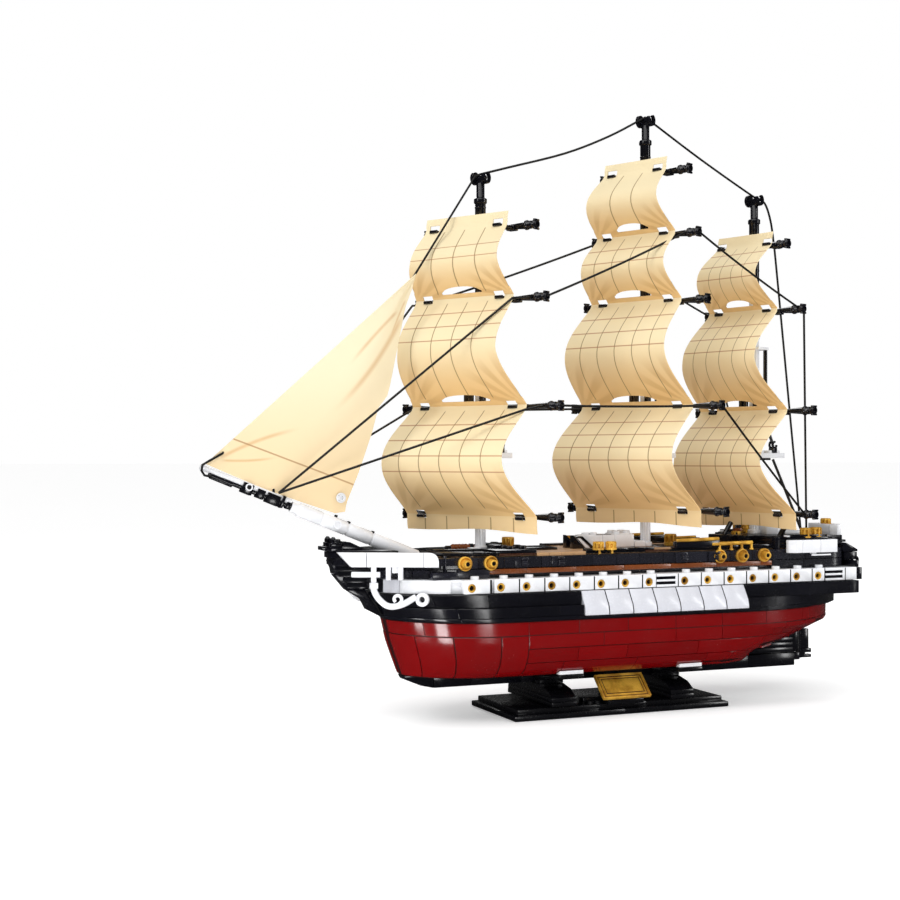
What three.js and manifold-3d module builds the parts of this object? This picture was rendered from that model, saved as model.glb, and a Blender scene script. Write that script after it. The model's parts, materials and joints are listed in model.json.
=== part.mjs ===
// A toy three-masted frigate built of small bricks, on its display stand.
// Millimetres. +X is the bow, +Y is port, +Z is up.
// The origin is the middle of the stand's underside.
import * as THREE from 'three';
import { mergeVertices } from 'three/addons/utils/BufferGeometryUtils.js';
import Module from 'manifold-3d';

const wasm = await Module();
wasm.setup();

// Driving dimensions
const PITCH = 8;                 // brick pitch
const PLATE = 3.2;               // height of a plate
const GAP = 0.3;                 // clearance between neighbouring pieces
const STUD_R = 2.45;
const STUD_H = 1.8;

const STAND = { halfX: 72, halfY: 32, lipX: 69, lipY: 29 };
const PEDESTAL_X = 40;           // middle of each pedestal, fore and aft
const PEDESTAL_HALF = 8;
const PAD = { inner: 35.2, outer: 40.2, bottom: 26.9, top: 29.4 };

const KEEL = { bottom: 18.2, step: 21.6, top: 26.3, half: 5.5, aft: -143.4, stepAft: -139.4 };
const RED_TOP = 59.4;
const TAPER_X = -60;             // aft of this the lower hull narrows to the sternpost
const WALE = { bottom: 59.7, lip: 61.2, mid: 67.7, top: 75.3, half: 49, rowOne: 48.4, rowTwo: 45, aft: -165 };
const BELT = { bottom: 75.6, top: 83.6, half: 42, aft: -160 };
const STRAKE = { bottom: 85.7, top: 88.7, half: 34.3, inner: 30.3, fore: 89, aft: -102 };
const BULWARK = { bottom: 83.9, lip: 85.4, low: 89, top: 95.5, half: 33.7, core: 30, aft: -157 };
const DECK = { bottom: 95.8, top: 97.2, half: 31.5 };
const RAISED_TOP = 103.2;         // top of the quarterdeck

// Gun ports: one on each brick of two studs, with a grille behind the eighth and the last of them
const PORT = { bow: 103.6, fore: 85.7, aft: -34.6, run: 7, pitch: 2 * PITCH, z: 78.9, radius: 2.4, stud: 3.4 };
const PORT_DEPTH = 2.2;
const GRILLE = { aft: [-28.4, -149.2], length: 13, low: 76.8, high: 80, slot: 1.5 };
const GUNS = { x: [104.6, 88.6, -64, -80, -96], z: 92.2 };
// Bow wings: the outer face stands on a slanted line in plan
const WING = { fore: 173.3, aft: 122.2, half: 38.7, slope: 0.4875, thick: 3.1, bottom: 90.9, top: 99.1 };
const PANEL = { fore: 35.8, aft: -75.6, bottom: 61.5, top: 75.3, inner: 42.3, outer: 49, count: 7 };

const RUDDER = { axisX: -146, noseR: 2, aft: -154, bottom: 22, top: 41, half: 1.9 };

const colour = {
  black: [0x111113, 0.28, 0],
  white: [0xf0f0f0, 0.3, 0],
  grey: [0xcfd2d6, 0.3, 0],
  red: [0x8f0a0c, 0.22, 0],
  brown: [0x5b2c12, 0.35, 0],
  tan: [0xc99a62, 0.4, 0],
  gold: [0xb98a28, 0.3, 0.9],
  sail: [0xe8cf9d, 0.7, 0],
};

const ship = new THREE.Group();

// Turns a three.js geometry into a solid that can be joined and cut
function solid(geometry) {
  const bare = geometry.clone();
  bare.deleteAttribute('normal');
  bare.deleteAttribute('uv');
  const merged = mergeVertices(bare, 1e-4);
  return new wasm.Manifold(new wasm.Mesh({
    numProp: 3,
    vertProperties: Float32Array.from(merged.attributes.position.array),
    triVerts: Uint32Array.from(merged.index.array),
  }));
}

// Turns a solid back into a geometry
function geometryOf(body) {
  const mesh = body.getMesh();
  const geometry = new THREE.BufferGeometry();
  geometry.setAttribute('position', new THREE.BufferAttribute(Float32Array.from(mesh.vertProperties), 3));
  geometry.setIndex(new THREE.BufferAttribute(Uint32Array.from(mesh.triVerts), 1));
  geometry.computeVertexNormals();
  return geometry;
}

function addPiece(name, body, shade, parent = ship) {
  const [hex, roughness, metalness] = colour[shade];
  const material = new THREE.MeshStandardMaterial({ color: hex, roughness, metalness });
  const mesh = new THREE.Mesh(geometryOf(body), material);
  mesh.name = name;
  parent.add(mesh);
  return mesh;
}

function join(list) {
  return list.reduce((sum, next) => sum.add(next));
}

function box(x0, x1, y0, y1, z0, z1) {
  const geometry = new THREE.BoxGeometry(x1 - x0, y1 - y0, z1 - z0);
  geometry.translate((x0 + x1) / 2, (y0 + y1) / 2, (z0 + z1) / 2);
  return solid(geometry);
}

// A round bar between two points, with a radius at each end
function bar(from, to, r0, r1 = r0, sides = 12) {
  const a = new THREE.Vector3(...from);
  const b = new THREE.Vector3(...to);
  const geometry = new THREE.CylinderGeometry(r1, r0, a.distanceTo(b), sides);
  const turn = new THREE.Quaternion().setFromUnitVectors(
    new THREE.Vector3(0, 1, 0), b.clone().sub(a).normalize());
  geometry.applyQuaternion(turn);
  const middle = a.add(b).multiplyScalar(0.5);
  geometry.translate(middle.x, middle.y, middle.z);
  return solid(geometry);
}

// A turned piece: the profile is radius and distance along the axis
function turned(profile, from, to, sides = 12) {
  const points = profile.map(([r, h]) => new THREE.Vector2(r, h));
  const geometry = new THREE.LatheGeometry(points, sides);
  const a = new THREE.Vector3(...from);
  const b = new THREE.Vector3(...to);
  geometry.applyQuaternion(new THREE.Quaternion().setFromUnitVectors(
    new THREE.Vector3(0, 1, 0), b.sub(a).normalize()));
  geometry.translate(a.x, a.y, a.z);
  return solid(geometry);
}

// An outline in X and Y, raised from z0 to z1
function slab(points, z0, z1) {
  const shape = new THREE.Shape(points.map(([x, y]) => new THREE.Vector2(x, y)));
  const geometry = new THREE.ExtrudeGeometry(shape, { depth: z1 - z0, bevelEnabled: false, curveSegments: 6 });
  geometry.translate(0, 0, z0);
  return solid(geometry);
}

// An outline in X and Z, carried across from y0 to y1
function side(points, y0, y1) {
  const shape = new THREE.Shape(points.map(([x, z]) => new THREE.Vector2(x, z)));
  const geometry = new THREE.ExtrudeGeometry(shape, { depth: y1 - y0, bevelEnabled: false, curveSegments: 6 });
  geometry.rotateX(Math.PI / 2);
  geometry.translate(0, y1, 0);
  return solid(geometry);
}

// An outline in Y and Z, carried along from x0 to x1
function section(points, x0, x1) {
  const shape = new THREE.Shape(points.map(([y, z]) => new THREE.Vector2(y, z)));
  const geometry = new THREE.ExtrudeGeometry(shape, { depth: x1 - x0, bevelEnabled: false, curveSegments: 6 });
  geometry.rotateX(Math.PI / 2);
  geometry.rotateZ(Math.PI / 2);
  geometry.translate(x0, 0, 0);
  return solid(geometry);
}

// A round bar along a smooth path
function cord(points, radius, steps = 40, sides = 8) {
  const list = points.map((p) => new THREE.Vector3(...p));
  const path = new THREE.CatmullRomCurve3(list);
  const round = new THREE.Shape();
  for (let i = 0; i < sides; i += 1) {
    const angle = (2 * Math.PI * i) / sides;
    const x = radius * Math.cos(angle);
    const y = radius * Math.sin(angle);
    if (i === 0) {
      round.moveTo(x, y);
    } else {
      round.lineTo(x, y);
    }
  }
  round.closePath();
  const geometry = new THREE.ExtrudeGeometry(round, { steps, extrudePath: path, bevelEnabled: false });
  return solid(geometry);
}

// A taut cord in the plane Y = 0: one section at each point, mitred to its neighbours
function stay(points, radius, sides = 6) {
  const position = [];
  const index = [];
  points.forEach(([x, y, z], i) => {
    const before = points[Math.max(i - 1, 0)];
    const after = points[Math.min(i + 1, points.length - 1)];
    const coming = new THREE.Vector2(x - before[0], z - before[2]).normalize();
    const going = new THREE.Vector2(after[0] - x, after[2] - z).normalize();
    const along = coming.clone().add(going).normalize();
    const reach = radius / Math.max(along.dot(i === 0 ? going : coming), 0.5);
    for (let k = 0; k < sides; k += 1) {
      const angle = (2 * Math.PI * (k + 0.5)) / sides;
      const out = reach * Math.cos(angle);
      position.push(x - along.y * out, y + radius * Math.sin(angle), z + along.x * out);
    }
    if (i + 1 < points.length) {
      for (let k = 0; k < sides; k += 1) {
        const a = i * sides + k;
        const b = i * sides + ((k + 1) % sides);
        index.push(a, b, b + sides, a, b + sides, a + sides);
      }
    }
  });
  const last = (points.length - 1) * sides;
  for (let k = 1; k + 1 < sides; k += 1) {
    index.push(0, k + 1, k, last, last + k, last + k + 1);
  }
  return closed(position, index);
}

// A solid from bare points and triangles, turned right side out
function closed(position, index) {
  const geometry = new THREE.BufferGeometry();
  geometry.setAttribute('position', new THREE.Float32BufferAttribute(position, 3));
  geometry.setIndex(index);
  const body = solid(geometry);
  if (body.volume() > 0) {
    return body;
  }
  for (let i = 0; i < index.length; i += 3) {
    [index[i], index[i + 1]] = [index[i + 1], index[i]];
  }
  geometry.setIndex(index);
  return solid(geometry);
}

function mirrored(body) {
  return body.mirror([0, 1, 0]);
}

// A waterline: half-breadth from the stern to a shoulder, then a rounded bow.
// aft: [x, half-breadth] points at the stern; tip: [x, half-breadth] at the stem
function waterline(half, shoulderX, tip, aft, fullness = 1.25, steps = 7) {
  const port = aft.map(([x, y]) => [x, y]);
  port.push([shoulderX, half]);
  for (let i = 1; i <= steps; i += 1) {
    const t = (Math.PI / 2) * (i / steps);
    const x = shoulderX + (tip[0] - shoulderX) * Math.sin(t);
    const y = tip[1] + (half - tip[1]) * Math.cos(t) ** fullness;
    port.push([x, y]);
  }
  const starboard = port.map(([x, y]) => [x, -y]).reverse();
  return port.concat(starboard);
}

// The stern end of a waterline that narrows from TAPER_X to a transom, for waterline()
function taper(half, endX, endHalf, power = 2, steps = 7) {
  const points = [];
  for (let i = steps; i > 0; i -= 1) {
    const s = i / steps;
    points.push([TAPER_X + (endX - TAPER_X) * s, endHalf + (half - endHalf) * (1 - s ** power)]);
  }
  return points;
}

// A body lofted through waterlines that have the same number of points
function lofted(levels) {
  const count = levels[0].points.length;
  const position = [];
  for (const level of levels) {
    for (const [x, y] of level.points) {
      position.push(x, y, level.z);
    }
  }
  const index = [];
  for (let k = 0; k + 1 < levels.length; k += 1) {
    for (let i = 0; i < count; i += 1) {
      const j = (i + 1) % count;
      const a = k * count + i;
      const b = k * count + j;
      index.push(a, b, b + count, a, b + count, a + count);
    }
  }
  const last = (levels.length - 1) * count;
  const flat = (level) => THREE.ShapeUtils.triangulateShape(
    level.points.map(([x, y]) => new THREE.Vector2(x, y)), []);
  for (const [a, b, c] of flat(levels[0])) {
    index.push(a, b, c);
  }
  for (const [a, b, c] of flat(levels[levels.length - 1])) {
    index.push(last + a, last + c, last + b);
  }
  return closed(position, index);
}

// Stand
function stand() {
  const base = join([
    box(-STAND.halfX, STAND.halfX, -STAND.halfY, STAND.halfY, 0, PLATE),
    box(-STAND.lipX, STAND.lipX, -STAND.lipY, STAND.lipY, PLATE, 2 * PLATE),
    // wedge that carries the name plate
    section([[20, 6.4], [33.4, 6.4], [33.4, 9], [21, 21], [20, 21]], -12, 12),
  ]);
  addPiece('stand_base', base, 'black');

  // half profile of a pedestal: y, z, up to the slot that takes the keel
  const half = [[31, 2 * PLATE + GAP], [31, 12], [24, 16], [14, 18], [14, 20.2], [26, 22.6], [40.5, 24.2],
    [40.5, PAD.bottom - GAP], [34.8, PAD.bottom - GAP], [22, 24.4], [KEEL.half + 1.5, 24.4],
    [KEEL.half + 1.5, KEEL.bottom - GAP]];
  const outline = half.concat(half.map(([y, z]) => [-y, z]).reverse());
  for (const [name, x] of [['fore', PEDESTAL_X], ['aft', -PEDESTAL_X]]) {
    const pedestal = section(outline, x - PEDESTAL_HALF, x + PEDESTAL_HALF);
    addPiece(`pedestal_${name}`, pedestal, 'black');
    for (const [hand, sign] of [['port', 1], ['starboard', -1]]) {
      const wedge = [[PAD.inner, PAD.bottom], [PAD.outer, PAD.bottom], [PAD.outer, PAD.top]];
      const pad = section(wedge, x - 7.8, x + 7.8);
      addPiece(`cradle_pad_${name}_${hand}`, sign > 0 ? pad : mirrored(pad), 'white');
    }
  }

  const plate = section([[33.9, 9.2], [35.6, 10.9], [22.9, 23.2], [21.2, 21.5]], -16, 16);
  addPiece('name_plate', plate, 'gold');
}

// Keel, sternpost and bottom
function bottom() {
  const keel = side([[KEEL.stepAft, KEEL.bottom], [112, KEEL.bottom], [120, 20], [129, 23.7], [130.5, KEEL.top],
    [KEEL.aft, KEEL.top], [KEEL.aft, KEEL.step], [KEEL.stepAft, KEEL.step]], -KEEL.half, KEEL.half);
  addPiece('keel', keel, 'black');

  // columns: z, half-breadth, bow tip x, transom x, half-breadth there, fullness of the taper
  const rows = [
    [26.6, 34, 130.6, -87, 24, 2],
    [29.5, 39.5, 131.6, -88, 27, 2],
    [33.5, 43.5, 133, -93, 28, 2],
    [39, 46.6, 135, -121, 22, 2],
    [46, 48, 137.5, -152, 10, 2.2],
    [49, 48, 138.3, -163.5, 5, 3],
    [RED_TOP, 48, 141, -165, 3.5, 3],
  ];
  const levels = rows.map(([z, half, tipX, endX, endHalf, power]) => ({
    z,
    points: waterline(half, 84, [tipX, 3], taper(half, endX, endHalf, power)),
  }));
  addPiece('hull_bottom', lofted(levels), 'red');

  // deadwood: plates stacked under the counter, and the sternpost
  const deadwood = side([[KEEL.aft, KEEL.top + GAP], [-88, KEEL.top + GAP], [-89, 29.3], [-94, 33.2],
    [-121.6, 38.6], [KEEL.aft, 43.5]], -4, 4);
  addPiece('deadwood', deadwood, 'black');
}

// Black wale: two rows of bricks with a lip under them
function wale() {
  const row = (half, z0, z1, tip0, tip1, aft) => lofted([
    { z: z0, points: waterline(half, 86, [tip0, 3], aft) },
    { z: z1, points: waterline(half, 86, [tip1, 3], aft) },
  ]);
  const lip = row(WALE.half, WALE.bottom, WALE.lip, 141.5, 142.5, taper(WALE.half, WALE.aft, 7, 3));
  const one = row(WALE.rowOne, WALE.bottom, WALE.mid, 141.5, 146, taper(WALE.rowOne, WALE.aft, 12, 3));
  const square = [[BELT.aft, WALE.rowTwo - 1], [-157, WALE.rowTwo]];
  const two = row(WALE.rowTwo, WALE.mid, WALE.top, 146, 152, square);
  let rows = one.add(two);
  for (const y of [BELT.half, -60]) {
    rows = rows.subtract(box(PANEL.aft - GAP, PANEL.fore + GAP, y, y + 60 - BELT.half, WALE.lip, WALE.top + 1));
  }
  addPiece('wale', lip.add(rows), 'black');

  const profile = [[PANEL.inner, PANEL.bottom], [PANEL.outer, PANEL.bottom], [PANEL.outer, 63.5], [48, 67],
    [45.6, 70.8], [43.3, PANEL.top - 0.9], [PANEL.inner, PANEL.top]];
  for (const [hand, sign] of [['port', 1], ['starboard', -1]]) {
    let panels = section(profile, PANEL.aft, PANEL.fore);
    const pitch = (PANEL.fore - PANEL.aft) / PANEL.count;
    for (let i = 1; i < PANEL.count; i += 1) {
      const x = PANEL.aft + i * pitch;
      panels = panels.subtract(section([[PANEL.outer + 1, 60], [PANEL.outer + 1, 63.5], [44, 76], [42.9, 76],
        [48.2, 67], [48.5, 63.5], [48.5, 60]], x - 0.2, x + 0.2));
    }
    addPiece(`wale_panels_${hand}`, sign > 0 ? panels : mirrored(panels), 'grey');
  }
}

// White gun belt with its ports, grilles and studs
function gunBelt() {
  const stern = [[BELT.aft, 42], [-150, 42]];
  let belt = slab(waterline(BELT.half, 92, [150, 6], stern, 1.35), BELT.bottom, BELT.top);
  const studs = [];
  const steps = Array.from({ length: PORT.run }, (_, i) => i * PORT.pitch);
  const runs = [PORT.fore, PORT.aft].flatMap((x) => steps.map((step) => x - step));
  for (const x of [PORT.bow, ...runs]) {
    for (const hand of [1, -1]) {
      const bottom = hand * (BELT.half - PORT_DEPTH);
      belt = belt.subtract(bar([x, hand * 60, PORT.z], [x, bottom, PORT.z], PORT.radius, PORT.radius, 10));
      const y = hand * 38;
      const middle = x - PORT.stud;
      studs.push(bar([middle, y, BELT.top - 0.5], [middle, y, BELT.top + STUD_H], STUD_R, STUD_R, 8));
    }
  }
  for (const x of GRILLE.aft) {
    for (const z of [GRILLE.low, GRILLE.high]) {
      for (const sign of [1, -1]) {
        const y = sign * BELT.half;
        belt = belt.subtract(box(x, x + GRILLE.length, y - 0.7, y + 0.7, z, z + GRILLE.slot));
      }
    }
  }
  addPiece('gun_belt', join([belt, ...studs]), 'white');
}

// Brown strake, bulwark with its guns, and the deck
function upperWorks() {
  for (const [hand, sign] of [['port', 1], ['starboard', -1]]) {
    const strake = box(STRAKE.aft, STRAKE.fore, STRAKE.inner, STRAKE.half, STRAKE.bottom, STRAKE.top);
    addPiece(`strake_${hand}`, sign > 0 ? strake : mirrored(strake), 'brown');
  }
  const aft = (half) => [[BULWARK.aft, half - 2], [BULWARK.aft + 6, half]];
  const core = slab(waterline(BULWARK.core, 96, [150, 6], aft(BULWARK.core)), BULWARK.bottom, BULWARK.top);
  const lip = slab(waterline(33, 96, [150, 6], aft(33)), BULWARK.bottom, BULWARK.lip);
  const wall = slab(waterline(BULWARK.half, 96, [150, 6], aft(BULWARK.half)), BULWARK.low, BULWARK.top);
  // solid ends fore and aft of the strakes
  const beak = slab([[90, 33.4], [124, 34.2], [139, 27.2], [150.1, 21.6], [150.1, -21.6], [139, -27.2],
    [124, -34.2], [90, -33.4]], 91, BULWARK.top);
  const full = slab(waterline(BULWARK.half, 96, [150, 6], aft(BULWARK.half)), BULWARK.bottom, BULWARK.top);
  const ends = full.subtract(box(STRAKE.aft - GAP, STRAKE.fore + GAP, -60, 60, BULWARK.lip, BULWARK.low));
  const guns = [];
  const gun = [[0, 0], [3.2, 0], [3.2, 3.6], [4.1, 3.6], [4.1, 4.8], [3, 5.4], [3, 6.2], [2.3, 6.5],
    [2, 7.9], [0, 7.9]];
  for (const x of GUNS.x) {
    for (const sign of [1, -1]) {
      guns.push(turned(gun, [x, sign * 31, GUNS.z], [x, sign * 60, GUNS.z], 12));
    }
  }
  addPiece('bulwark', join([core, lip, wall, ends, beak, ...guns]), 'black');

  const deckAft = [[BULWARK.aft + 2, DECK.half - 2], [BULWARK.aft + 8, DECK.half]];
  const deck = slab(waterline(DECK.half, 92, [114, 24], deckAft), DECK.bottom, DECK.top);
  const hatch = box(34, 73, -10, 10, DECK.top - 0.2, DECK.top + 1.6);
  addPiece('deck', deck.add(hatch), 'tan');
}

// Black stem, white wing bulwarks and head rails
function bow() {
  const top = WING.top - GAP;
  const stem = side([[143, 60.6], [151.7, 65.3], [154.8, 71.2], [164.5, 76.7], [172.4, 86.2], [172.8, 89.5],
    [177.6, top], [179.8, 100], [179.8, 102], [175.6, 102], [175.2, 106.2], [168.4, 106.2], [163, 104.2],
    [153, 99.6], [150.4, 99.6], [150.4, 75.5], [152.7, 75.4]], -3.6, 3.6);
  const cheek = slab([[150.4, 12], [160, 9], [168, 6], [168, -6], [160, -9], [150.4, -12]], 78, 92);
  const outline = [[150.4, 21.2], [158, 17.2], [173, 9.6], [173, -9.6], [158, -17.2], [150.4, -21.2]];
  const beak = slab(outline, 91, top);
  addPiece('stem', join([stem, cheek, beak]), 'black');

  const [high, low] = [WING.top, WING.bottom];
  for (const [hand, sign] of [['port', 1], ['starboard', -1]]) {
    // the wing's profile, cut from a slanted slab that stands on its line
    const line = (x) => WING.half - WING.slope * (x - WING.aft);
    const plan = slab([[WING.aft, line(WING.aft)], [WING.fore, line(WING.fore)],
      [WING.fore, line(WING.fore) - WING.thick], [WING.aft, line(WING.aft) - WING.thick]], low, high);
    const rake = side([[WING.fore + 1, high + 1], [WING.fore, high], [WING.fore - 7, low],
      [WING.fore + 1, low - 1]], 0, 60);
    const shoulder = side([[WING.aft - 1, high - 4.4], [WING.aft, high - 4.4], [WING.aft + 1.2, high - 1.4],
      [WING.aft + 4, high], [WING.aft + 4, high + 1], [WING.aft - 1, high + 1]], 0, 60);
    const posts = [147.2, 141].map((x) => {
      const y = line(x) - 1.6;
      return bar([x, y, BELT.top + GAP], [x, y, low + 1], 1.4, 1.4, 8);
    });
    const wing = join([plan.subtract(rake).subtract(shoulder), ...posts]);
    addPiece(`bow_wing_${hand}`, sign > 0 ? wing : mirrored(wing), 'white');

    const scroll = cord([[155, 22.3, 79.5], [154.6, 22.5, 77.2], [152.6, 23.4, 73.4], [148.9, 25, 69.8],
      [145, 26.6, 68.9], [139.6, 29, 70.4], [132.8, 32, 74.2]], 1.75, 16);
    const post = bar([155, 22.3, 78], [155, 22.3, low - GAP], 1.55, 1.55, 8);
    const rail = bar([166, 16.2, 86.7], [151.6, 23.6, 86.7], 1.6, 1.6, 8);
    const ring = bar([129.7, 32.8, 72.8], [131.3, 34.8, 72.8], 3.9, 3.9, 14);
    const hole = bar([128, 30.7, 72.8], [133, 36.9, 72.8], 1.6, 1.6, 10);
    const piece = join([scroll, post, rail, ring]).subtract(hole);
    addPiece(`head_rail_${hand}`, sign > 0 ? piece : mirrored(piece), 'white');
  }

  // bowsprit: round bricks on a slanted axis, with grooves at their joints, cut level at the deck
  const spritFoot = [130.2, 0, 98.3];
  const spritTop = [197.5, 0, 125.2];
  const profile = [[0, 0], [4, 0], [4, 19.9], [3.4, 20.3], [4, 20.7], [4, 35.5], [3.4, 36], [4, 36.5],
    [4, 66.5], [3.2, 67.5], [3.2, 72.5], [0, 72.5]];
  const sprit = turned(profile, spritFoot, spritTop).subtract(box(120, 150, -6, 6, 85, BULWARK.top + GAP));
  const foot = box(136, 148, -4, 4, BULWARK.top + GAP, 104);
  addPiece('bowsprit', sprit.add(foot), 'white');

  const boom = join([
    bar([198.6, 0, 128.2], [246.6, 0, 146.6], 1.6, 1.6, 10),
    bar([198.2, 0, 125], [243.6, 0, 143.4], 1.35, 1.35, 10),
    bar([202.5, 0, 128], [210.5, 0, 131.3], 3.2, 3.2, 8),
    bar([213.5, 0, 132.5], [216.8, 0, 133.9], 2.8, 2.8, 8),
    bar([220, 0, 135.2], [225.6, 0, 137.5], 3.1, 3.1, 8),
  ]);
  addPiece('jib_boom', boom, 'black');
}

// Transom, rudder and the stern structure
function stern() {
  const back = [
    box(-164.4, BELT.aft - GAP, -41.7, 41.7, BELT.bottom, 83.3),
    box(-163.5, BELT.aft - GAP, -39.7, 39.7, 83, 87.5),
    box(-166.8, BULWARK.aft - GAP, -33.8, 33.8, BULWARK.bottom, 92.4),
    side([[BULWARK.aft - GAP, 92], [-167.2, 92], [-167.2, 94], [-158.6, 98.4],
      [BULWARK.aft - GAP, 98.4]], -33.6, 33.6),
    // shelf and posts under the stern boat
    box(-171.6, BULWARK.aft - GAP, -16, 16, 97.6, 99.2),
    ...[-9, 9].map((y) => bar([-168, y, 99], [-168, y, 101.3], 1.6, 1.6, 8)),
    box(BULWARK.aft - 1.5, -104, -31, 31, DECK.top + GAP, RAISED_TOP),
  ];
  addPiece('transom', join(back), 'black');

  const blade = side([[RUDDER.axisX, RUDDER.bottom], [RUDDER.axisX, RUDDER.top], [RUDDER.aft + 1, RUDDER.top],
    [RUDDER.aft + 1, 27], [RUDDER.aft - 1, 27], [RUDDER.aft - 1, RUDDER.bottom]], -RUDDER.half, RUDDER.half);
  const { axisX, bottom, top, noseR } = RUDDER;
  const nose = bar([axisX, 0, bottom], [axisX, 0, top], noseR, noseR, 12);
  addPiece('rudder', blade.add(nose), 'black');
}

// Masts, yards and sails.
// columns: name, x, brace in degrees, foot z, cap z, height of the crossbar at the head
const MASTS = [
  ['fore', 80, 30, DECK.top + GAP, 243, 318],
  ['main', -32, 25, DECK.top + GAP, 243, 361.5],
  ['mizzen', -112, 18, RAISED_TOP + GAP, 253, 317.2],
];
// columns: height, half length, slot distance from the mast, sail depth, sail half-width,
// belly below, half-width there
const YARDS = {
  fore: [
    [287, 41, 23, 14, 29.5, 12, 31.5],
    [245, 48, 26, 16, 35.5, 20, 35.3],
    [182, 58, 32, 11.5, 41.6, 28, 43.3],
    [118, 58, 36, 10, 47.3, 0, 47.3],
  ],
  main: [
    [328, 33.5, 17, 11, 23, 15, 26],
    [289, 40, 21, 10, 29.2, 15, 30.5],
    [248, 46.5, 24.5, 10, 33.6, 23.5, 36.8],
    [183.5, 56.5, 30.5, 9.2, 41.5, 27, 44.4],
    [120, 59.5, 34, 9.2, 46.8, 0, 46.8],
  ],
  mizzen: [
    [287, 27, 18, 9.5, 21.5, 18, 23],
    [245, 39, 19, 11, 27, 25, 28.4],
    [181.5, 47, 24, 11, 34.5, 26.5, 34],
    [117, 48, 28, 11.8, 41.3, 0, 41.3],
  ],
};
const SAIL = { thick: 0.8, head: 7, foot: 9, slotW: 7, slotH: 3.4, gapLow: 2.6, gapHigh: 6.9, gapReach: 0.56 };
const MAST_R = 3.2;
const COLLAR = { inner: MAST_R + GAP, outer: 5.2, half: 2.9 };
const PLATFORM = { z: 152, halfX: 16, halfY: 12, height: 3.1 };

// Depth and half-width of a mast's sail at every height in steps
function sailProfile(rows) {
  const list = [[rows[0][0] + SAIL.head, rows[0][3] - 1, rows[0][4]]];
  const steps = 8;
  for (let i = 0; i + 1 < rows.length; i += 1) {
    const [z0, , , d0, w0, belly, wide] = rows[i];
    const [z1, , , d1, w1] = rows[i + 1];
    for (let k = 0; k < steps; k += 1) {
      const t = k / steps;
      const depth = d0 + (d1 - d0) * t + belly * Math.sin(Math.PI * t) ** 1.2;
      const width = t < 0.5 ? w0 + (wide - w0) * 2 * t : wide + (w1 - wide) * (2 * t - 1);
      list.push([z0 + (z1 - z0) * t, depth, width]);
    }
  }
  const end = rows[rows.length - 1];
  list.push([end[0], end[3], end[4]]);
  list.push([end[0] - SAIL.foot, end[3] - 0.4, end[4]]);
  return list;
}

function sheet(rows) {
  const profile = sailProfile(rows);
  const position = [];
  const half = SAIL.thick / 2;
  for (const [z, d, w] of profile) {
    position.push(d + half, w, z, d + half, -w, z, d - half, -w, z, d - half, w, z);
  }
  const index = [];
  const n = profile.length;
  for (let k = 0; k + 1 < n; k += 1) {
    for (let i = 0; i < 4; i += 1) {
      const a = 4 * k + i;
      const b = 4 * k + ((i + 1) % 4);
      index.push(a, a + 4, b + 4, a, b + 4, b);
    }
  }
  index.push(0, 1, 2, 0, 2, 3);
  const last = 4 * (n - 1);
  index.push(last, last + 2, last + 1, last, last + 3, last + 2);
  let body = closed(position, index);
  rows.forEach(([z, , slot], i) => {
    for (const y of [slot, -slot]) {
      const cut = box(0, 40, y - SAIL.slotW / 2, y + SAIL.slotW / 2, z - SAIL.slotH / 2, z + SAIL.slotH / 2);
      body = body.subtract(cut);
    }
    if (i > 0 && i < rows.length - 1) {
      const reach = slot * SAIL.gapReach;
      const lens = section([[-reach, z + SAIL.gapLow], [reach, z + SAIL.gapLow],
        [reach * 0.55, z + SAIL.gapHigh], [-reach * 0.55, z + SAIL.gapHigh]], 0, 60);
      body = body.subtract(lens);
    }
  });
  return body;
}

// A yard: a collar round the mast, two arms with flared tips, and the clips that hold the sail
function yard([z, half, slot, depth]) {
  const tip = [[0, 0], [2.3, 0], [3, 0.8], [3, 2.2], [1.6, 2.7], [1.6, 3.8], [2.4, 4.2], [2.9, 7],
    [2.9, 8.2], [2.2, 9.2], [1.3, 21]];
  const start = COLLAR.inner + 0.5;
  const parts = [];
  for (const sign of [1, -1]) {
    const profile = tip.filter(([, h]) => half - h > start + 4);
    profile.push([1.9, half - start - 3], [1.9, half - start], [0, half - start]);
    parts.push(turned(profile, [0, sign * half, z], [0, 0, z], 8));
    const y = sign * slot;
    parts.push(box(-2.2, depth + 2.8, y - 2.5, y + 2.5, z - 1.3, z + 1.1));
    parts.push(box(-2.3, 2.3, y - 2.7, y + 2.7, z - 2.3, z + 2.3));
  }
  parts.push(bar([0, 0, z - COLLAR.half], [0, 0, z + COLLAR.half], COLLAR.outer, COLLAR.outer, 12));
  return join(parts).subtract(bar([0, 0, z - 10], [0, 0, z + 10], COLLAR.inner, COLLAR.inner, 12));
}

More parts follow.
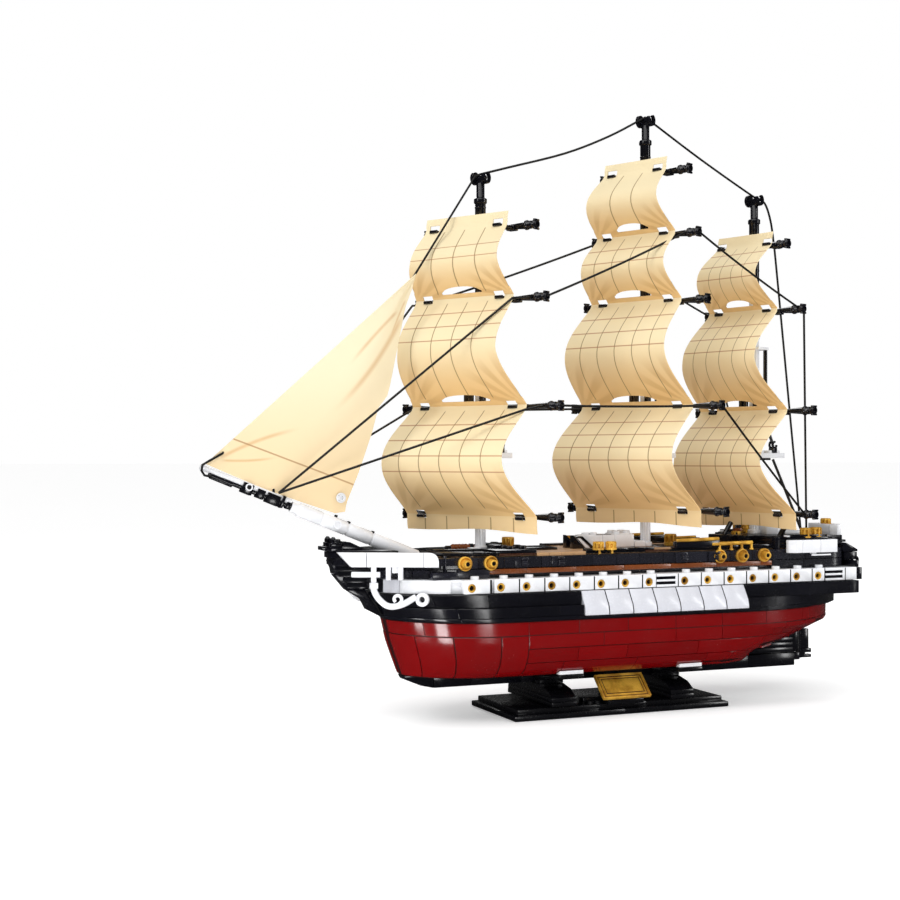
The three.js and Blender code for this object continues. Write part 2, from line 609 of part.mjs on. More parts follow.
function masts() {
  for (const [name, x, brace, foot, cap, head] of MASTS) {
    const group = new THREE.Group();
    group.position.set(x, 0, 0);
    group.rotation.z = (brace * Math.PI) / 180;
    ship.add(group);
    const pipe = turned([[0, 0], [4.2, 0], [4.2, 2.4], [MAST_R, 2.8], [MAST_R, cap - foot], [0, cap - foot]],
      [0, 0, foot], [0, 0, foot + 1]);
    const { z, halfX, halfY, height } = PLATFORM;
    const lower = pipe.add(box(-halfX, halfX, -halfY, halfY, z, z + height));
    addPiece(`${name}_lower_mast`, lower, 'grey', group);
    const base = cap + GAP;
    const length = head - base;
    const pole = turned([[0, 0], [MAST_R, 0], [MAST_R, length - 15.4], [3.9, length - 15], [3.9, length - 12.6],
      [2.5, length - 11.8], [2.5, length - 1], [0, length - 1]], [0, 0, base], [0, 0, base + 1]);
    const upper = join([
      pole,
      box(-1.6, 1.6, -4.2, 4.2, head - 3.6, head - 0.8),
      bar([0, -4.6, head], [0, 4.6, head], 1.3, 1.3, 10),
      bar([0, -4.8, head], [0, -3.1, head], 3.9, 3.9, 12),
      bar([0, 3.1, head], [0, 4.8, head], 3.9, 3.9, 12),
    ]);
    addPiece(`${name}_topmast`, upper, 'black', group);
    const rows = YARDS[name];
    rows.forEach((row, i) => addPiece(`${name}_yard_${i + 1}`, yard(row), 'black', group));
    addPiece(`${name}_sails`, sheet(rows), 'sail', group);
  }
}

// Jib and the long stay over the mast tops
function foreAndAft() {
  const jib = side([[239, 151], [122, 255], [133, 226], [148, 182], [160, 146], [170, 120.5],
    [204, 134.5]], -0.4, 0.4);
  addPiece('jib', jib, 'sail');
  // from the jib boom's tip over the three mast heads, then down to the quarterdeck
  const [fore, main, mizzen] = MASTS.map(([, x, , , , head]) => [x, 0, head + 2.2]);
  const route = [[248, 0, 149.2], [240.5, 0, 151.6], [122.6, 0, 256.9], [83.4, 0, 318.7], fore, [62, 0, 325.6],
    [24, 0, 337], [-6, 0, 349.7], main, [-72, 0, 340.7], mizzen, [-116.5, 0, 318.6], [-121, 0, 314.6],
    [-124.6, 0, 304.7], [-126.8, 0, 292], [-129.2, 0, 273], [-138, 0, 194.2], [-148, 0, RAISED_TOP + 1]];
  addPiece('main_stay', stay(route, 0.6), 'black');
}

// Boats, capstans and the helm
// A boat's plan: square stern, and a bow brick that narrows to a blunt end
function boat(length, width, height, bow) {
  const fore = length / 2;
  const outline = [[-fore, -width / 2], [fore - bow, -width / 2], [fore, -width / 6], [fore, width / 6],
    [fore - bow, width / 2], [-fore, width / 2]];
  return slab(outline, 0, height);
}

function fittings() {
  const longBoat = boat(36, 15, 7.8, 9).translate([-2, 0, DECK.top + GAP]);
  addPiece('long_boat', longBoat, 'white');
  // columns: name, x, foot, height of the plinth
  const capstans = [['fore', 62, DECK.top + 1.9, 0.6], ['main', -50, DECK.top + GAP, 1.8]];
  for (const [name, x, z, plinth] of capstans) {
    const profile = [[0, 0], [4, 0], [4, plinth], [3.4, plinth], [2, plinth + 1.4], [2, plinth + 2.6],
      [3.4, plinth + 3.6], [3.4, plinth + 5.2], [0, plinth + 5.2]];
    addPiece(`capstan_${name}`, turned(profile, [x, 0, z], [x, 0, z + 1], 10), 'gold');
  }
  const quarterBoat = boat(35, 8, 8.2, 4).translate([-128, 38.1, 93.2]);
  const davit = box(-134, -130, 33.9, 36, 92, 94);
  addPiece('quarter_boat_port', quarterBoat.add(davit), 'white');
  addPiece('quarter_boat_starboard', mirrored(quarterBoat.add(davit)), 'white');
  const sternBoat = box(-172, -163.5, -14, 14, 101.6, 109);
  addPiece('stern_boat', sternBoat, 'white');
  const wheel = bar([-105.2, 0, 107], [-104.2, 0, 107], 3.2, 3.2, 12);
  const post = box(-105.3, -104.2, -1.6, 1.6, RAISED_TOP + GAP, 106);
  addPiece('helm', wheel.add(post), 'gold');
}

stand();
bottom();
wale();
gunBelt();
upperWorks();
bow();
stern();
masts();
foreAndAft();
fittings();

export default ship;
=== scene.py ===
# %% [markdown]
# # A toy tall ship on its stand
# This lesson dresses a finished model. The frame that is loaded first holds every solid of the
# toy at its real place, in metres: +X is the bow, +Y is port and +Z is up. Nothing here moves
# those solids. Each step adds the skins, bricks, sheets and cords that make the toy look real.

# %% Load the frame
import json
import random
from math import atan2, ceil, copysign, cos, dist, pi, radians, sin, tau
import bpy
from mathutils import Matrix, Vector


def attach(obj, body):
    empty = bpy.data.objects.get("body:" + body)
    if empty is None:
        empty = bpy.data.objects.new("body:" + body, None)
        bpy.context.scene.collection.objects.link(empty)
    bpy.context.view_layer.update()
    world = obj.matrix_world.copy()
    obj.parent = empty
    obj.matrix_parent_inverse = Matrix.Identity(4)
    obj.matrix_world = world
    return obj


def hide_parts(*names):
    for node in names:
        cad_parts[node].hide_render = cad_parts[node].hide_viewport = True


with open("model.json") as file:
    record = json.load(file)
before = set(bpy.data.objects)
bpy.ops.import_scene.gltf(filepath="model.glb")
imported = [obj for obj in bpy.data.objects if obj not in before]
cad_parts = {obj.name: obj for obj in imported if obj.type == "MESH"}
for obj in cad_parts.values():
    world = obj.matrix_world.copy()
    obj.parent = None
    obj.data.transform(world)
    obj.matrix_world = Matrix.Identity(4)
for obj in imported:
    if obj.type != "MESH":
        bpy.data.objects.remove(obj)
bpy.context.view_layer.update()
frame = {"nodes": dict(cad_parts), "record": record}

MM = 0.001
print("frame nodes:", len(frame["nodes"]))

# %% [markdown]
# ## Camera and studio
# A toy like this is photographed in a white tent. The camera is level with the sails and stands
# off the port bow. Its lens, place and small upward shift were worked out once from the spacing
# of the gun ports. Light comes softly through the tent's roof, from three large lamps and from
# three small ones near the bow, and the pale floor and sky send it on.

# %% Camera
CAMERA_AT = (0.4358, 0.8099, 0.1530)
CAMERA_TURN = radians(157.45)
LENS, SENSOR, SHIFT_UP, CLIP_START = 59.66, 36.0, 0.0071, 0.01

data = bpy.data.cameras.new("camera")
data.lens, data.sensor_width, data.shift_y, data.clip_start = LENS, SENSOR, SHIFT_UP, CLIP_START
camera = bpy.data.objects.new("camera", data)
camera.location = CAMERA_AT
camera.rotation_euler = (radians(90), 0, CAMERA_TURN)
bpy.context.scene.collection.objects.link(camera)
bpy.context.scene.camera = camera

# %% Lamps


def add_lamp(kind, name, at, aim, power, size):
    data = bpy.data.lights.new(name, kind)
    data.energy = power
    if kind == "SUN":
        data.angle = size
    else:
        data.shape = "RECTANGLE"
        data.size, data.size_y = size
    lamp = bpy.data.objects.new(name, data)
    lamp.location = at
    lamp.visible_camera = False
    lamp.rotation_euler = (Vector(aim) - Vector(at)).to_track_quat("-Z", "Y").to_euler()
    bpy.context.scene.collection.objects.link(lamp)


MIDDLE = (0.03, 0.0, 0.14)
add_lamp("SUN", "tent_roof", (0.5, 0.75, 1.6), MIDDLE, 1.75, radians(70))
add_lamp("AREA", "bow_lamp", (1.25, 0.35, 0.75), MIDDLE, 3.5, (0.22, 1.0))
add_lamp("AREA", "stern_lamp", (-0.95, 0.75, 0.45), MIDDLE, 4.0, (0.12, 1.1))
add_lamp("AREA", "back_lamp", (-0.2, -1.2, 0.9), MIDDLE, 5.0, (0.9, 0.5))
# small upright lamps near the bow, whose images stand on its curve as bright streaks:
# the lit point, the lamp's bearing and distance from it, its width, height and power
STREAKS = [(0.097, 0.0465, 87, 0.4, 0.12, 0.08, 0.24),
           (0.1193, 0.0358, 37, 0.13, 0.035, 0.022, 0.030),
           (0.1288, 0.0265, 11, 0.13, 0.035, 0.022, 0.030)]
CLEAR = 0.002      # the lamps' gap over the floor
for number, (x, y, turn, far, width, height, power) in enumerate(STREAKS):
    angle = radians(turn)
    middle = height / 2 + CLEAR
    spot = (x + far * cos(angle), y + far * sin(angle), middle)
    add_lamp("AREA", "streak_lamp_%d" % number, spot, (x, y, middle), power, (width, height))
bpy.context.scene.view_settings.view_transform = "Standard"

# %% [markdown]
# ## Shader sums as Python
# A material is a small network of nodes. Written out by hand it hides its own idea, so one class
# wraps a socket and overloads the operators: an expression such as `1 - mask * 0.2` adds the
# Math nodes that it needs. Every other node comes from one method, `node`.

# %% Shader helper


def adds(operation, swap=False):
    """A method that adds one Math node."""
    def method(a, b=0.0):
        return a.shader.node("ShaderNodeMath", {"operation": operation}, [b, a] if swap else [a, b])
    return method


class Sum:
    """A socket that takes part in Python arithmetic."""
    __add__, __radd__, __mul__ = adds("ADD"), adds("ADD", True), adds("MULTIPLY")
    __sub__, __rsub__, __gt__ = adds("SUBTRACT"), adds("SUBTRACT", True), adds("GREATER_THAN")
    fract, size, power, most = adds("FRACT"), adds("ABSOLUTE"), adds("POWER"), adds("MAXIMUM")

    def __init__(self, shader, socket):
        self.shader, self.socket = shader, socket

    def ramp(self, low, high, to_low=0.0, to_high=1.0):
        """A smooth step from low to high."""
        return self.shader.node("ShaderNodeMapRange", {"interpolation_type": "SMOOTHSTEP"},
                                [self, low, high, to_low, to_high])


SLOT_OF = {}


class Shader:
    """The nodes of a material or a world, and one method that adds any node."""

    def __init__(self, owner, surface="Principled BSDF", **values):
        owner.use_nodes = True
        self.owner, self.tree = owner, owner.node_tree
        self.surface = self.tree.nodes[surface]
        for key, value in values.items():
            self.surface.inputs[key.replace("_", " ")].default_value = value

    def node(self, kind, settings, values, output=0):
        made = self.tree.nodes.new(kind)
        for key, value in settings.items():
            setattr(made, key, value)
        pairs = values.items() if isinstance(values, dict) else enumerate(values)
        for key, value in pairs:
            self.feed(made.inputs[key], value)
        return Sum(self, made.outputs[output])

    def feed(self, socket, value):
        if isinstance(value, Sum):
            self.tree.links.new(value.socket, socket)
        else:
            socket.default_value = value

    def set(self, socket, value):
        self.feed(self.surface.inputs[socket], value)

    def place(self):
        """The piece's own coordinates, in metres."""
        return self.node("ShaderNodeTexCoord", {}, {}, "Object")

    def noise(self, scale, detail=3.0):
        return self.node("ShaderNodeTexNoise", {}, {
            "Vector": self.place(), "Scale": scale, "Detail": detail})

    def blend(self, amount, first, second):
        return self.node("ShaderNodeMix", {"data_type": "RGBA"}, {0: amount, 6: first, 7: second}, 2)

    def bump(self, height, strength, distance):
        self.set("Normal", self.node("ShaderNodeBump", {}, {
            "Height": height, "Strength": strength, "Distance": distance}))

    def fills(self, slot):
        """The finished material, noted with the slot that it fills."""
        SLOT_OF[self.owner.name] = slot
        return self.owner


# %% [markdown]
# ## Moulded plastic
# All bricks are the same moulded plastic in a few colours. It is glossy but never a perfect
# mirror: each moulded face sinks a few hundredths of a millimetre, shows faint swirls from the
# tool, and picks up tiny scratches that only change its roughness. Each brick also differs a
# little in colour, which an attribute called `tint` carries, one value for each brick.

# %% Brick plastic


def plastic(name, slot, colour, roughness, tint_range, coat=0.15):
    dark = tuple(c * (1 - tint_range) for c in colour) + (1.0,)
    light = tuple(min(1.0, c * (1 + tint_range)) for c in colour) + (1.0,)
    shader = Shader(bpy.data.materials.new(name), Coat_Roughness=0.08, Coat_Weight=coat, IOR=1.52)
    cloud = shader.noise(35.0, 2.0)
    tint = shader.node("ShaderNodeAttribute", {"attribute_name": "tint"}, {}, "Fac")
    shader.set("Base Color", shader.blend(tint + 0.35 + cloud * 0.3, dark, light))
    scratch = shader.noise(900.0, 4.0).ramp(0.52, 0.72)
    smear = shader.noise(60.0, 2.0).ramp(0.4, 0.7)
    shader.set("Roughness", roughness + scratch * 0.10 + smear * 0.06)
    shader.bump(shader.noise(140.0, 2.0), 0.35, 0.00004)
    return shader.fills(slot)


BLACK = plastic("black brick plastic", "black_plastic", (0.0035, 0.0035, 0.0062), 0.15, 0.25)
CORD_BLACK = plastic("black elastic cord", "rigging_cord", (0.0012, 0.0012, 0.0014), 0.55, 0.0, 0.0)
# the wall's black is lighter and bluer than the other blacks: painted reflected light
LIT_WALL_BLACK = plastic("black wall plastic lightened as painted reflection", "black_plastic", (0.011, 0.011, 0.017), 0.22, 0.25)
STAND_BLACK = plastic("black stand plastic", "stand_plastic", (0.0030, 0.0030, 0.0042), 0.20, 0.25)
WHITE = plastic("white brick plastic", "white_plastic", (0.79, 0.80, 0.83), 0.20, 0.03)
GREY = plastic("pale grey brick plastic", "grey_plastic", (0.60, 0.61, 0.66), 0.22, 0.04)
RED = plastic("dark red brick plastic", "red_plastic", (0.165, 0.0008, 0.0015), 0.13, 0.12, 0.2)
BROWN = plastic("reddish brown brick plastic", "brown_plastic", (0.20, 0.052, 0.012), 0.22, 0.15)
# darker brown for the deck's edge tiles in shade and the name plate's grooves: painted shade
SHADE_BROWN = plastic("brown plastic darkened as painted shade", "brown_plastic", (0.060, 0.020, 0.009), 0.25, 0.2)
TAN = plastic("tan tile plastic", "deck_plastic", (0.56, 0.33, 0.16), 0.28, 0.12)


def gold_plastic():
    """Pearly gold plastic: flakes in it make it sparkle and change its shade."""
    shader = Shader(bpy.data.materials.new("pearl gold plastic"), Metallic=0.3)
    flakes = shader.node("ShaderNodeTexVoronoi", {}, {"Vector": shader.place(), "Scale": 2600.0}, 0)
    swirl = shader.noise(120.0, 3.0).ramp(0.35, 0.65)
    shader.set("Base Color", shader.blend(swirl, (0.44, 0.21, 0.020, 1), (0.86, 0.49, 0.065, 1)))
    shader.set("Roughness", 0.24 + flakes * 0.14)
    shader.bump(flakes, 0.12, 0.00003)
    return shader.fills("gold_plastic")


GOLD = gold_plastic()

# The red solid is only seen in the joints between the bricks laid on it, so it is darker: painted shade in
# the joints.
JOINT_RED = plastic("shaded red in the joints", "red_plastic", (0.035, 0.0005, 0.0008), 0.4, 0.0, 0.0)

# Every carried-over solid gets the finish of its slot
PLASTICS = (STAND_BLACK, BLACK, WHITE, GREY, JOINT_RED, BROWN, TAN, GOLD)
SLOT_FINISH = {SLOT_OF[look.name]: look for look in PLASTICS}
for part in frame["record"]["subparts"]:
    if part["material_slot"] in SLOT_FINISH:
        node = frame["nodes"][part["node"]]
        node.data.materials.clear()
        node.data.materials.append(SLOT_FINISH[part["material_slot"]])
print("finishes:", len(SLOT_FINISH))

# %% [markdown]
# ## Floor and sky
# Black glossy bricks mirror the white tent and turn grey. A photographer hangs dark cloth round
# the lens for that. Here the Light Path node does it: a mirror ray sees a dim floor and sky,
# and every other ray sees the white ones.

# %% Floor and sky
TABLE_GLOW = 0.26        # the table is lit from below as well
MIRROR_DIM = 0.04
SKY_SEEN, SKY_LIGHT = 1.0, 0.42
FLOOR_SIZE, FLOOR_Z = 60.0, -0.0002


def ray_is(shader, kind):
    return shader.node("ShaderNodeLightPath", {}, {}, f"Is {kind} Ray")


def even(shade):
    return (shade, shade, shade, 1)


def floor_finish():
    shader = Shader(bpy.data.materials.new("pale floor"), Roughness=0.6, Emission_Strength=TABLE_GLOW)
    shader.set("Emission Color", shader.blend(ray_is(shader, "Camera"), even(0.25), even(1)))
    shader.set("Base Color", shader.blend(shader.noise(3.0, 3.0), even(0.95), even(0.97)))
    dim = shader.node("ShaderNodeBsdfDiffuse", {}, {"Color": even(MIRROR_DIM)})
    both = shader.node("ShaderNodeMixShader", {}, {
        0: ray_is(shader, "Glossy"), 1: Sum(shader, shader.surface.outputs[0]), 2: dim})
    shader.feed(shader.tree.nodes["Material Output"].inputs["Surface"], both)
    return shader.owner


bpy.ops.object.select_all(action="DESELECT")
bpy.ops.mesh.primitive_plane_add(size=FLOOR_SIZE, location=(0, 0, FLOOR_Z))
floor = bpy.context.object
floor.name = "floor"
floor.data.materials.append(floor_finish())


def sky():
    """White where it is seen, softer where it lights, and dim in mirror reflections."""
    shader = Shader(bpy.data.worlds.new("sky"), "Background", Color=even(1.0))

    def switch(kind, off, on):
        return shader.node("ShaderNodeMapRange", {}, {
            "Value": ray_is(shader, kind), "To Min": off, "To Max": on})
    shader.set("Strength", switch("Camera", SKY_LIGHT, SKY_SEEN)
               * switch("Glossy", 1.0, MIRROR_DIM / SKY_LIGHT))
    bpy.context.scene.world = shader.owner


sky()

# %% [markdown]
# ## The maker's hand tools
# Each new piece starts as one of Blender's primitives and is shaped in edit mode, as by hand.
# The few helpers below are those hand moves with names: select, edit, bevel, extrude, copy and
# join. Sizes in the tables are millimetres, as on the toy, and `MM` turns them into metres.

# %% Selecting and editing
dice = random.Random(4)         # each brick's shade is one throw, so the order of bricks matters
JOINT = 0.08                    # half the gap between two bricks in a row
SIDES = (1, -1)
HANDS = (("port", 1), ("starboard", -1))
FLIP = Matrix.Scale(-1, 4, (0, 1, 0))


def shift(x, y=0, z=0):
    return Matrix.Translation((x * MM, y * MM, z * MM))


def spin(degrees):
    return Matrix.Rotation(radians(degrees), 4, "Z")


def new(add, **settings):
    """A new primitive, by its own operator."""
    bpy.ops.object.select_all(action="DESELECT")
    add(**settings)
    return bpy.context.object


def only(*pieces):
    bpy.ops.object.select_all(action="DESELECT")
    for piece in pieces:
        piece.select_set(True)
    bpy.context.view_layer.objects.active = pieces[0]


def edit_picked(piece, *steps):
    """Edit mode with the picked faces selected, then the steps in turn."""
    bpy.ops.object.mode_set(mode="EDIT")
    for step in steps:
        step()
    bpy.ops.object.mode_set(mode="OBJECT")


def edit(piece, *steps):
    """The same with everything selected."""
    only(piece)
    edit_picked(piece, lambda: bpy.ops.mesh.select_all(action="SELECT"), *steps)


def outward():
    bpy.ops.mesh.normals_make_consistent(inside=False)


def face_out(piece):
    edit(piece, outward)
    return piece


def fix_place(piece):
    only(piece)
    bpy.ops.object.transform_apply(location=True, rotation=True, scale=True)
    return piece


def moved(piece, matrix):
    piece.matrix_world = matrix @ piece.matrix_world
    return fix_place(piece)


def all_moved(pieces, matrix):
    return [moved(piece, matrix) for piece in pieces]


def copy_of(piece, matrix):
    only(piece)
    bpy.ops.object.duplicate(linked=False)
    return moved(bpy.context.object, matrix)


def discard(*pieces):
    for piece in pieces:
        bpy.data.objects.remove(piece)


def pick(piece, test):
    """Selects the faces whose middle, in millimetres, and normal pass the test."""
    only(piece)
    edit_picked(piece, lambda: bpy.ops.mesh.select_mode(type="FACE"),
                lambda: bpy.ops.mesh.select_all(action="DESELECT"))
    for face in piece.data.polygons:
        face.select = bool(test(face.center / MM, face.normal))


def apply_modifier(piece, kind, **settings):
    only(piece)
    modifier = piece.modifiers.new(kind.lower(), kind)
    for key, value in settings.items():
        setattr(modifier, key, value)
    bpy.ops.object.modifier_apply(modifier=modifier.name)
    return piece


def soften(piece, width=0.2, segments=2, angle=40):
    return apply_modifier(piece, "BEVEL", width=width * MM, segments=segments, limit_method="ANGLE",
                          angle_limit=radians(angle))


def tinted(piece, spread=0.35):
    """One shade for the whole brick, which the plastic materials read."""
    shade = dice.uniform(-spread, spread)
    layer = piece.data.attributes.get("tint") or piece.data.attributes.new("tint", "FLOAT", "POINT")
    for value in layer.data:
        value.value = shade
    return piece


# %% Finishing a piece


def finish(pieces, name, material, *replaces, body="ship", angle=35):
    """Joins the parts, gives them their finish and hangs them on their CAD body."""
    only(*pieces)
    if len(pieces) > 1:
        bpy.ops.object.join()
    piece = fix_place(bpy.context.object)
    bpy.ops.object.shade_smooth_by_angle(angle=radians(angle))
    piece.name = piece.data.name = name
    piece.data.materials.clear()
    piece.data.materials.append(material)
    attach(piece, body)
    if replaces:
        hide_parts(*replaces)
    return piece


# %% Bricks, bars and turned parts
STUD = [(2.45, 0), (2.45, 1.6), (2.25, 1.9)]


def block(x, y, z, bevel=0.25, segments=2):
    """A brick between three pairs of limits, with its edges rounded."""
    limits = [sorted(pair) for pair in (x, y, z)]
    piece = new(bpy.ops.mesh.primitive_cube_add, size=1.0, location=[(a + b) / 2 * MM for a, b in limits])
    piece.scale = [(b - a) * MM for a, b in limits]
    fix_place(piece)
    edit(piece, lambda: bpy.ops.mesh.bevel(offset=bevel * MM, segments=segments, affect="EDGES"))
    return tinted(piece)


def blocks(*rows, bevel=0.25):
    """Bricks from rows of three pairs of limits, with a bevel after them where it differs."""
    return [block(row[0:2], row[2:4], row[4:6], *(row[6:] or [bevel])) for row in rows]


def towards(start, aim):
    """The turn and place that lay a part's own Z along a line, in millimetres."""
    line = Vector(aim) - Vector(start)
    return Matrix.Translation(Vector(start) * MM) @ line.to_track_quat("Z", "Y").to_matrix().to_4x4()


def turned(profile, start, aim, sides=20, bevel=0.12):
    """A turned part. The profile lists radius and height, ring by ring."""
    (r0, h0), (last_r, last_h) = profile[:2]
    piece = new(bpy.ops.mesh.primitive_cone_add, vertices=sides, radius1=r0 * MM, radius2=last_r * MM,
                depth=(last_h - h0) * MM, location=(0, 0, (h0 + last_h) / 2 * MM))
    fix_place(piece)
    top = last_h - 0.001
    pick(piece, lambda middle, normal: normal.z > 0.9 and middle.z > top)
    steps = []
    for r, h in profile[2:]:
        steps.append(lambda d=h - last_h: bpy.ops.mesh.extrude_region_move(
            TRANSFORM_OT_translate={"value": (0, 0, d * MM)}))
        steps.append(lambda k=r / last_r, at=h: bpy.ops.transform.resize(
            value=(k, k, 1), center_override=(0, 0, at * MM)))
        last_r, last_h = r, h
    edit_picked(piece, *steps)
    face_out(piece)
    if bevel:
        soften(piece, bevel, 1, 30)
    return tinted(moved(piece, towards(start, aim)))


def upright(profile, x, y, z, sides=24, bevel=0.12):
    return turned(profile, (x, y, z), (x, y, z + 1), sides, bevel)


def bar(start, end, radius, sides=16):
    length = (Vector(end) - Vector(start)).length
    return turned([(radius, 0), (radius, length)], start, end, sides, 0.2)


def tube(start, aim, outer, inner, length, sides=24, bevel=0.15):
    """An open ring: a cylinder without ends that gets a wall."""
    piece = new(bpy.ops.mesh.primitive_cylinder_add, vertices=sides, radius=outer * MM,
                depth=length * MM, end_fill_type="NOTHING", location=(0, 0, length / 2 * MM))
    fix_place(piece)
    apply_modifier(piece, "SOLIDIFY", thickness=(outer - inner) * MM, offset=-1)
    soften(piece, bevel, 1, 40)
    return tinted(moved(piece, towards(start, aim)))


def slab(outline, axis, low, high, bevel=0.2):
    """An outline in the two other axes, filled, extruded along this axis and softened."""
    piece = new(bpy.ops.mesh.primitive_circle_add, vertices=len(outline), radius=MM, fill_type="NGON")
    main = "XYZ".index(axis)
    others = [i for i in range(3) if i != main]
    for vertex, (a, b) in zip(piece.data.vertices, outline):
        vertex.co[main] = low * MM
        vertex.co[others[0]] = a * MM
        vertex.co[others[1]] = b * MM
    step = [0.0, 0.0, 0.0]
    step[main] = (high - low) * MM
    edit(piece, lambda: bpy.ops.mesh.extrude_region_move(TRANSFORM_OT_translate={"value": step}),
         lambda: bpy.ops.mesh.select_all(action="SELECT"), outward)
    if bevel:
        soften(piece, bevel, 2, 25)
    return tinted(piece)


def side_slab(outline, axis, side, low, high, bevel=0.2):
    """A slab on one side of the ship, between two distances from the middle plane."""
    return slab(outline, axis, *sorted((side * low, side * high)), bevel)


def line(points, radius, sides=2):
    """A cord or a bent bar: a path with a round section, made into a mesh."""
    piece = new(bpy.ops.curve.primitive_nurbs_path_add)
    curve = piece.data
    curve.splines.clear()
    path = curve.splines.new("POLY")
    path.points.add(len(points) - 1)
    for knot, place in zip(path.points, points):
        knot.co = (place[0] * MM, place[1] * MM, place[2] * MM, 1.0)
    curve.bevel_depth = radius * MM
    curve.bevel_resolution = sides
    curve.use_fill_caps = True
    only(piece)
    bpy.ops.object.convert(target="MESH")
    piece = bpy.context.object
    edit(piece, lambda: bpy.ops.mesh.remove_doubles(threshold=0.000001), outward)
    return tinted(piece)


def smooth_path(points, steps=8):
    """Points of a curve that runs smoothly through the given ones."""
    spots = [Vector(p) for p in points]
    spots = [spots[0] * 2 - spots[1]] + spots + [spots[-1] * 2 - spots[-2]]
    path = []
    for a, b, c, d in zip(spots, spots[1:], spots[2:], spots[3:]):
        for k in range(steps):
            t = k / steps
            path.append(0.5 * ((2 * b) + (c - a) * t + (2 * a - 5 * b + 4 * c - d) * t * t
                               + (3 * b - a - 3 * c + d) * t ** 3))
    return path + [spots[-2]]


def row_of_blocks(cuts, *limits, bevel=0.25):
    """Bricks in a row between the cuts, listed from bow to stern."""
    return blocks(*[(aft + JOINT, fore - JOINT, *limits) for fore, aft in zip(cuts, cuts[1:])], bevel=bevel)


def arc(count, start, step):
    """Angles in radians, from degrees."""
    return [radians(start + step * k) for k in range(count)]

# %% [markdown]
# ## Square sails
# On the toy each mast carries one long strip of printed foil. It is clipped to every yard
# through a pair of slots, and bellies forward between them. An arched window over each inner
# yard lets the mast show. A cloth simulation would lose these crisp folds, so the strip is
# bent as given: a grid whose rows follow the measured depth in front of the mast.

# %% Sail tables
# mast: x of its axis, turn of its yards in degrees, foot, cap of the white pipe, crossbar at the head
MASTS = {"fore": (80, 30, 97.5, 243, 318), "main": (-32, 25, 97.5, 243, 361.5),
         "mizzen": (-112, 18, 103.5, 253, 317.2)}
# yard: height, half length, slot, sail depth, sail half width, belly below, half width there
YARDS = {
    "fore": [(287, 41, 23, 14, 29.5, 12, 31.5), (245, 48, 26, 16, 35.5, 20, 35.3),
             (182, 58, 32, 11.5, 41.6, 28, 43.3), (118, 58, 36, 10, 47.3, 0, 47.3)],
    "main": [(328, 33.5, 17, 11, 23, 15, 26), (289, 40, 21, 10, 29.2, 15, 30.5),
             (248, 46.5, 24.5, 10, 33.6, 23.5, 36.8), (183.5, 56.5, 30.5, 9.2, 41.5, 27, 44.4),
             (120, 59.5, 34, 9.2, 46.8, 0, 46.8)],
    "mizzen": [(287, 27, 18, 9.5, 21.5, 18, 23), (245, 39, 19, 11, 27, 25, 28.4),
               (181.5, 47, 24, 11, 34.5, 26.5, 34), (117, 48, 28, 11.8, 41.3, 0, 41.3)],
}
# printed seams of each panel: first and step down the panel, how many, then the same across
SEAMS = {
    "fore": [(0.29, 0.16, 2, 0.25, 0.25, 3), (0.14, 0.13, 3, 0.14, 0.206, 4),
             (0.17, 0.14, 4, 0.145, 0.171, 5)],
    "main": [(0.3, 0.2, 0, 0.34, 0.30, 2), (0.22, 0.20, 2, 0.16, 0.215, 4),
             (0.16, 0.14, 3, 0.155, 0.175, 5), (0.155, 0.12, 4, 0.15, 0.165, 5)],
    "mizzen": [(0.14, 0.19, 3, 0.2, 0.19, 4), (0.155, 0.13, 3, 0.15, 0.18, 5),
               (0.16, 0.125, 4, 0.14, 0.175, 5)],
}
HEAD, FOOT = 7, 9
SLOT = (3.5, 1.7, 3)          # half width, reach below and above the yard
WINDOW = (0.56, 3, 6.9)       # share of the slot's distance, sill and top above the yard
WINDOW_COLUMN, SLOT_COLUMN = 5, 6
FOIL = 0.5

# %% Depth and width of a sail


def mast_frame(name):
    """A mast's own place: X forward across its yards, Y along them."""
    x, turn = MASTS[name][:2]
    return shift(x) @ spin(turn)


def sail_at(yards, z):
    """Panel number, share of the panel from its head, depth and half width at a height."""
    first, last = yards[0], yards[-1]
    if z >= first[0]:
        share = (z - first[0]) / HEAD
        return -1, 1 - share, first[3] - share, first[4]
    if z <= last[0]:
        share = (last[0] - z) / FOOT
        return len(yards) - 1, share, last[3] - 0.4 * share, last[4]
    for k, (a, b) in enumerate(zip(yards, yards[1:])):
        if b[0] < z <= a[0]:
            t = (a[0] - z) / (a[0] - b[0])
            depth = a[3] + (b[3] - a[3]) * t + a[5] * sin(pi * t) ** 1.2
            width = a[4] + (a[6] - a[4]) * 2 * t if t < 0.5 else a[6] + (b[4] - a[6]) * (2 * t - 1)
            return k, t, depth, width


def columns_at(yards, z):
    """Shares of the half width where columns run: evenly to the window's end, then the slot."""
    def marks(yard):
        slot, half = yard[2], yard[4]
        inner = [slot * WINDOW[0] * k / WINDOW_COLUMN for k in range(WINDOW_COLUMN + 1)]
        return [v / half for v in inner + [slot - SLOT[0], slot + SLOT[0], half]]
    k, t = sail_at(yards, z)[:2]
    if k < 0 or k >= len(yards) - 1:
        return marks(yards[max(k, 0)])
    return [a + (b - a) * t for a, b in zip(marks(yards[k]), marks(yards[k + 1]))]


def sail_rows(yards):
    """Heights of the rows, with pairs at the slots and at each window, close enough to bend well."""
    keys = [yards[0][0] + HEAD]
    for yard in yards:
        if yard in yards[1:-1]:
            keys.append(yard[0] + WINDOW[2])
        keys += [yard[0] + SLOT[2], yard[0] - SLOT[1]]
    keys.append(yards[-1][0] - FOOT)
    rows = []
    for a, b in zip(keys, keys[1:]):
        count = max(1, ceil((a - b) / 3))
        rows += [a + (b - a) * k / count for k in range(count)]
    return rows + [keys[-1]]


# %% One strip of sail


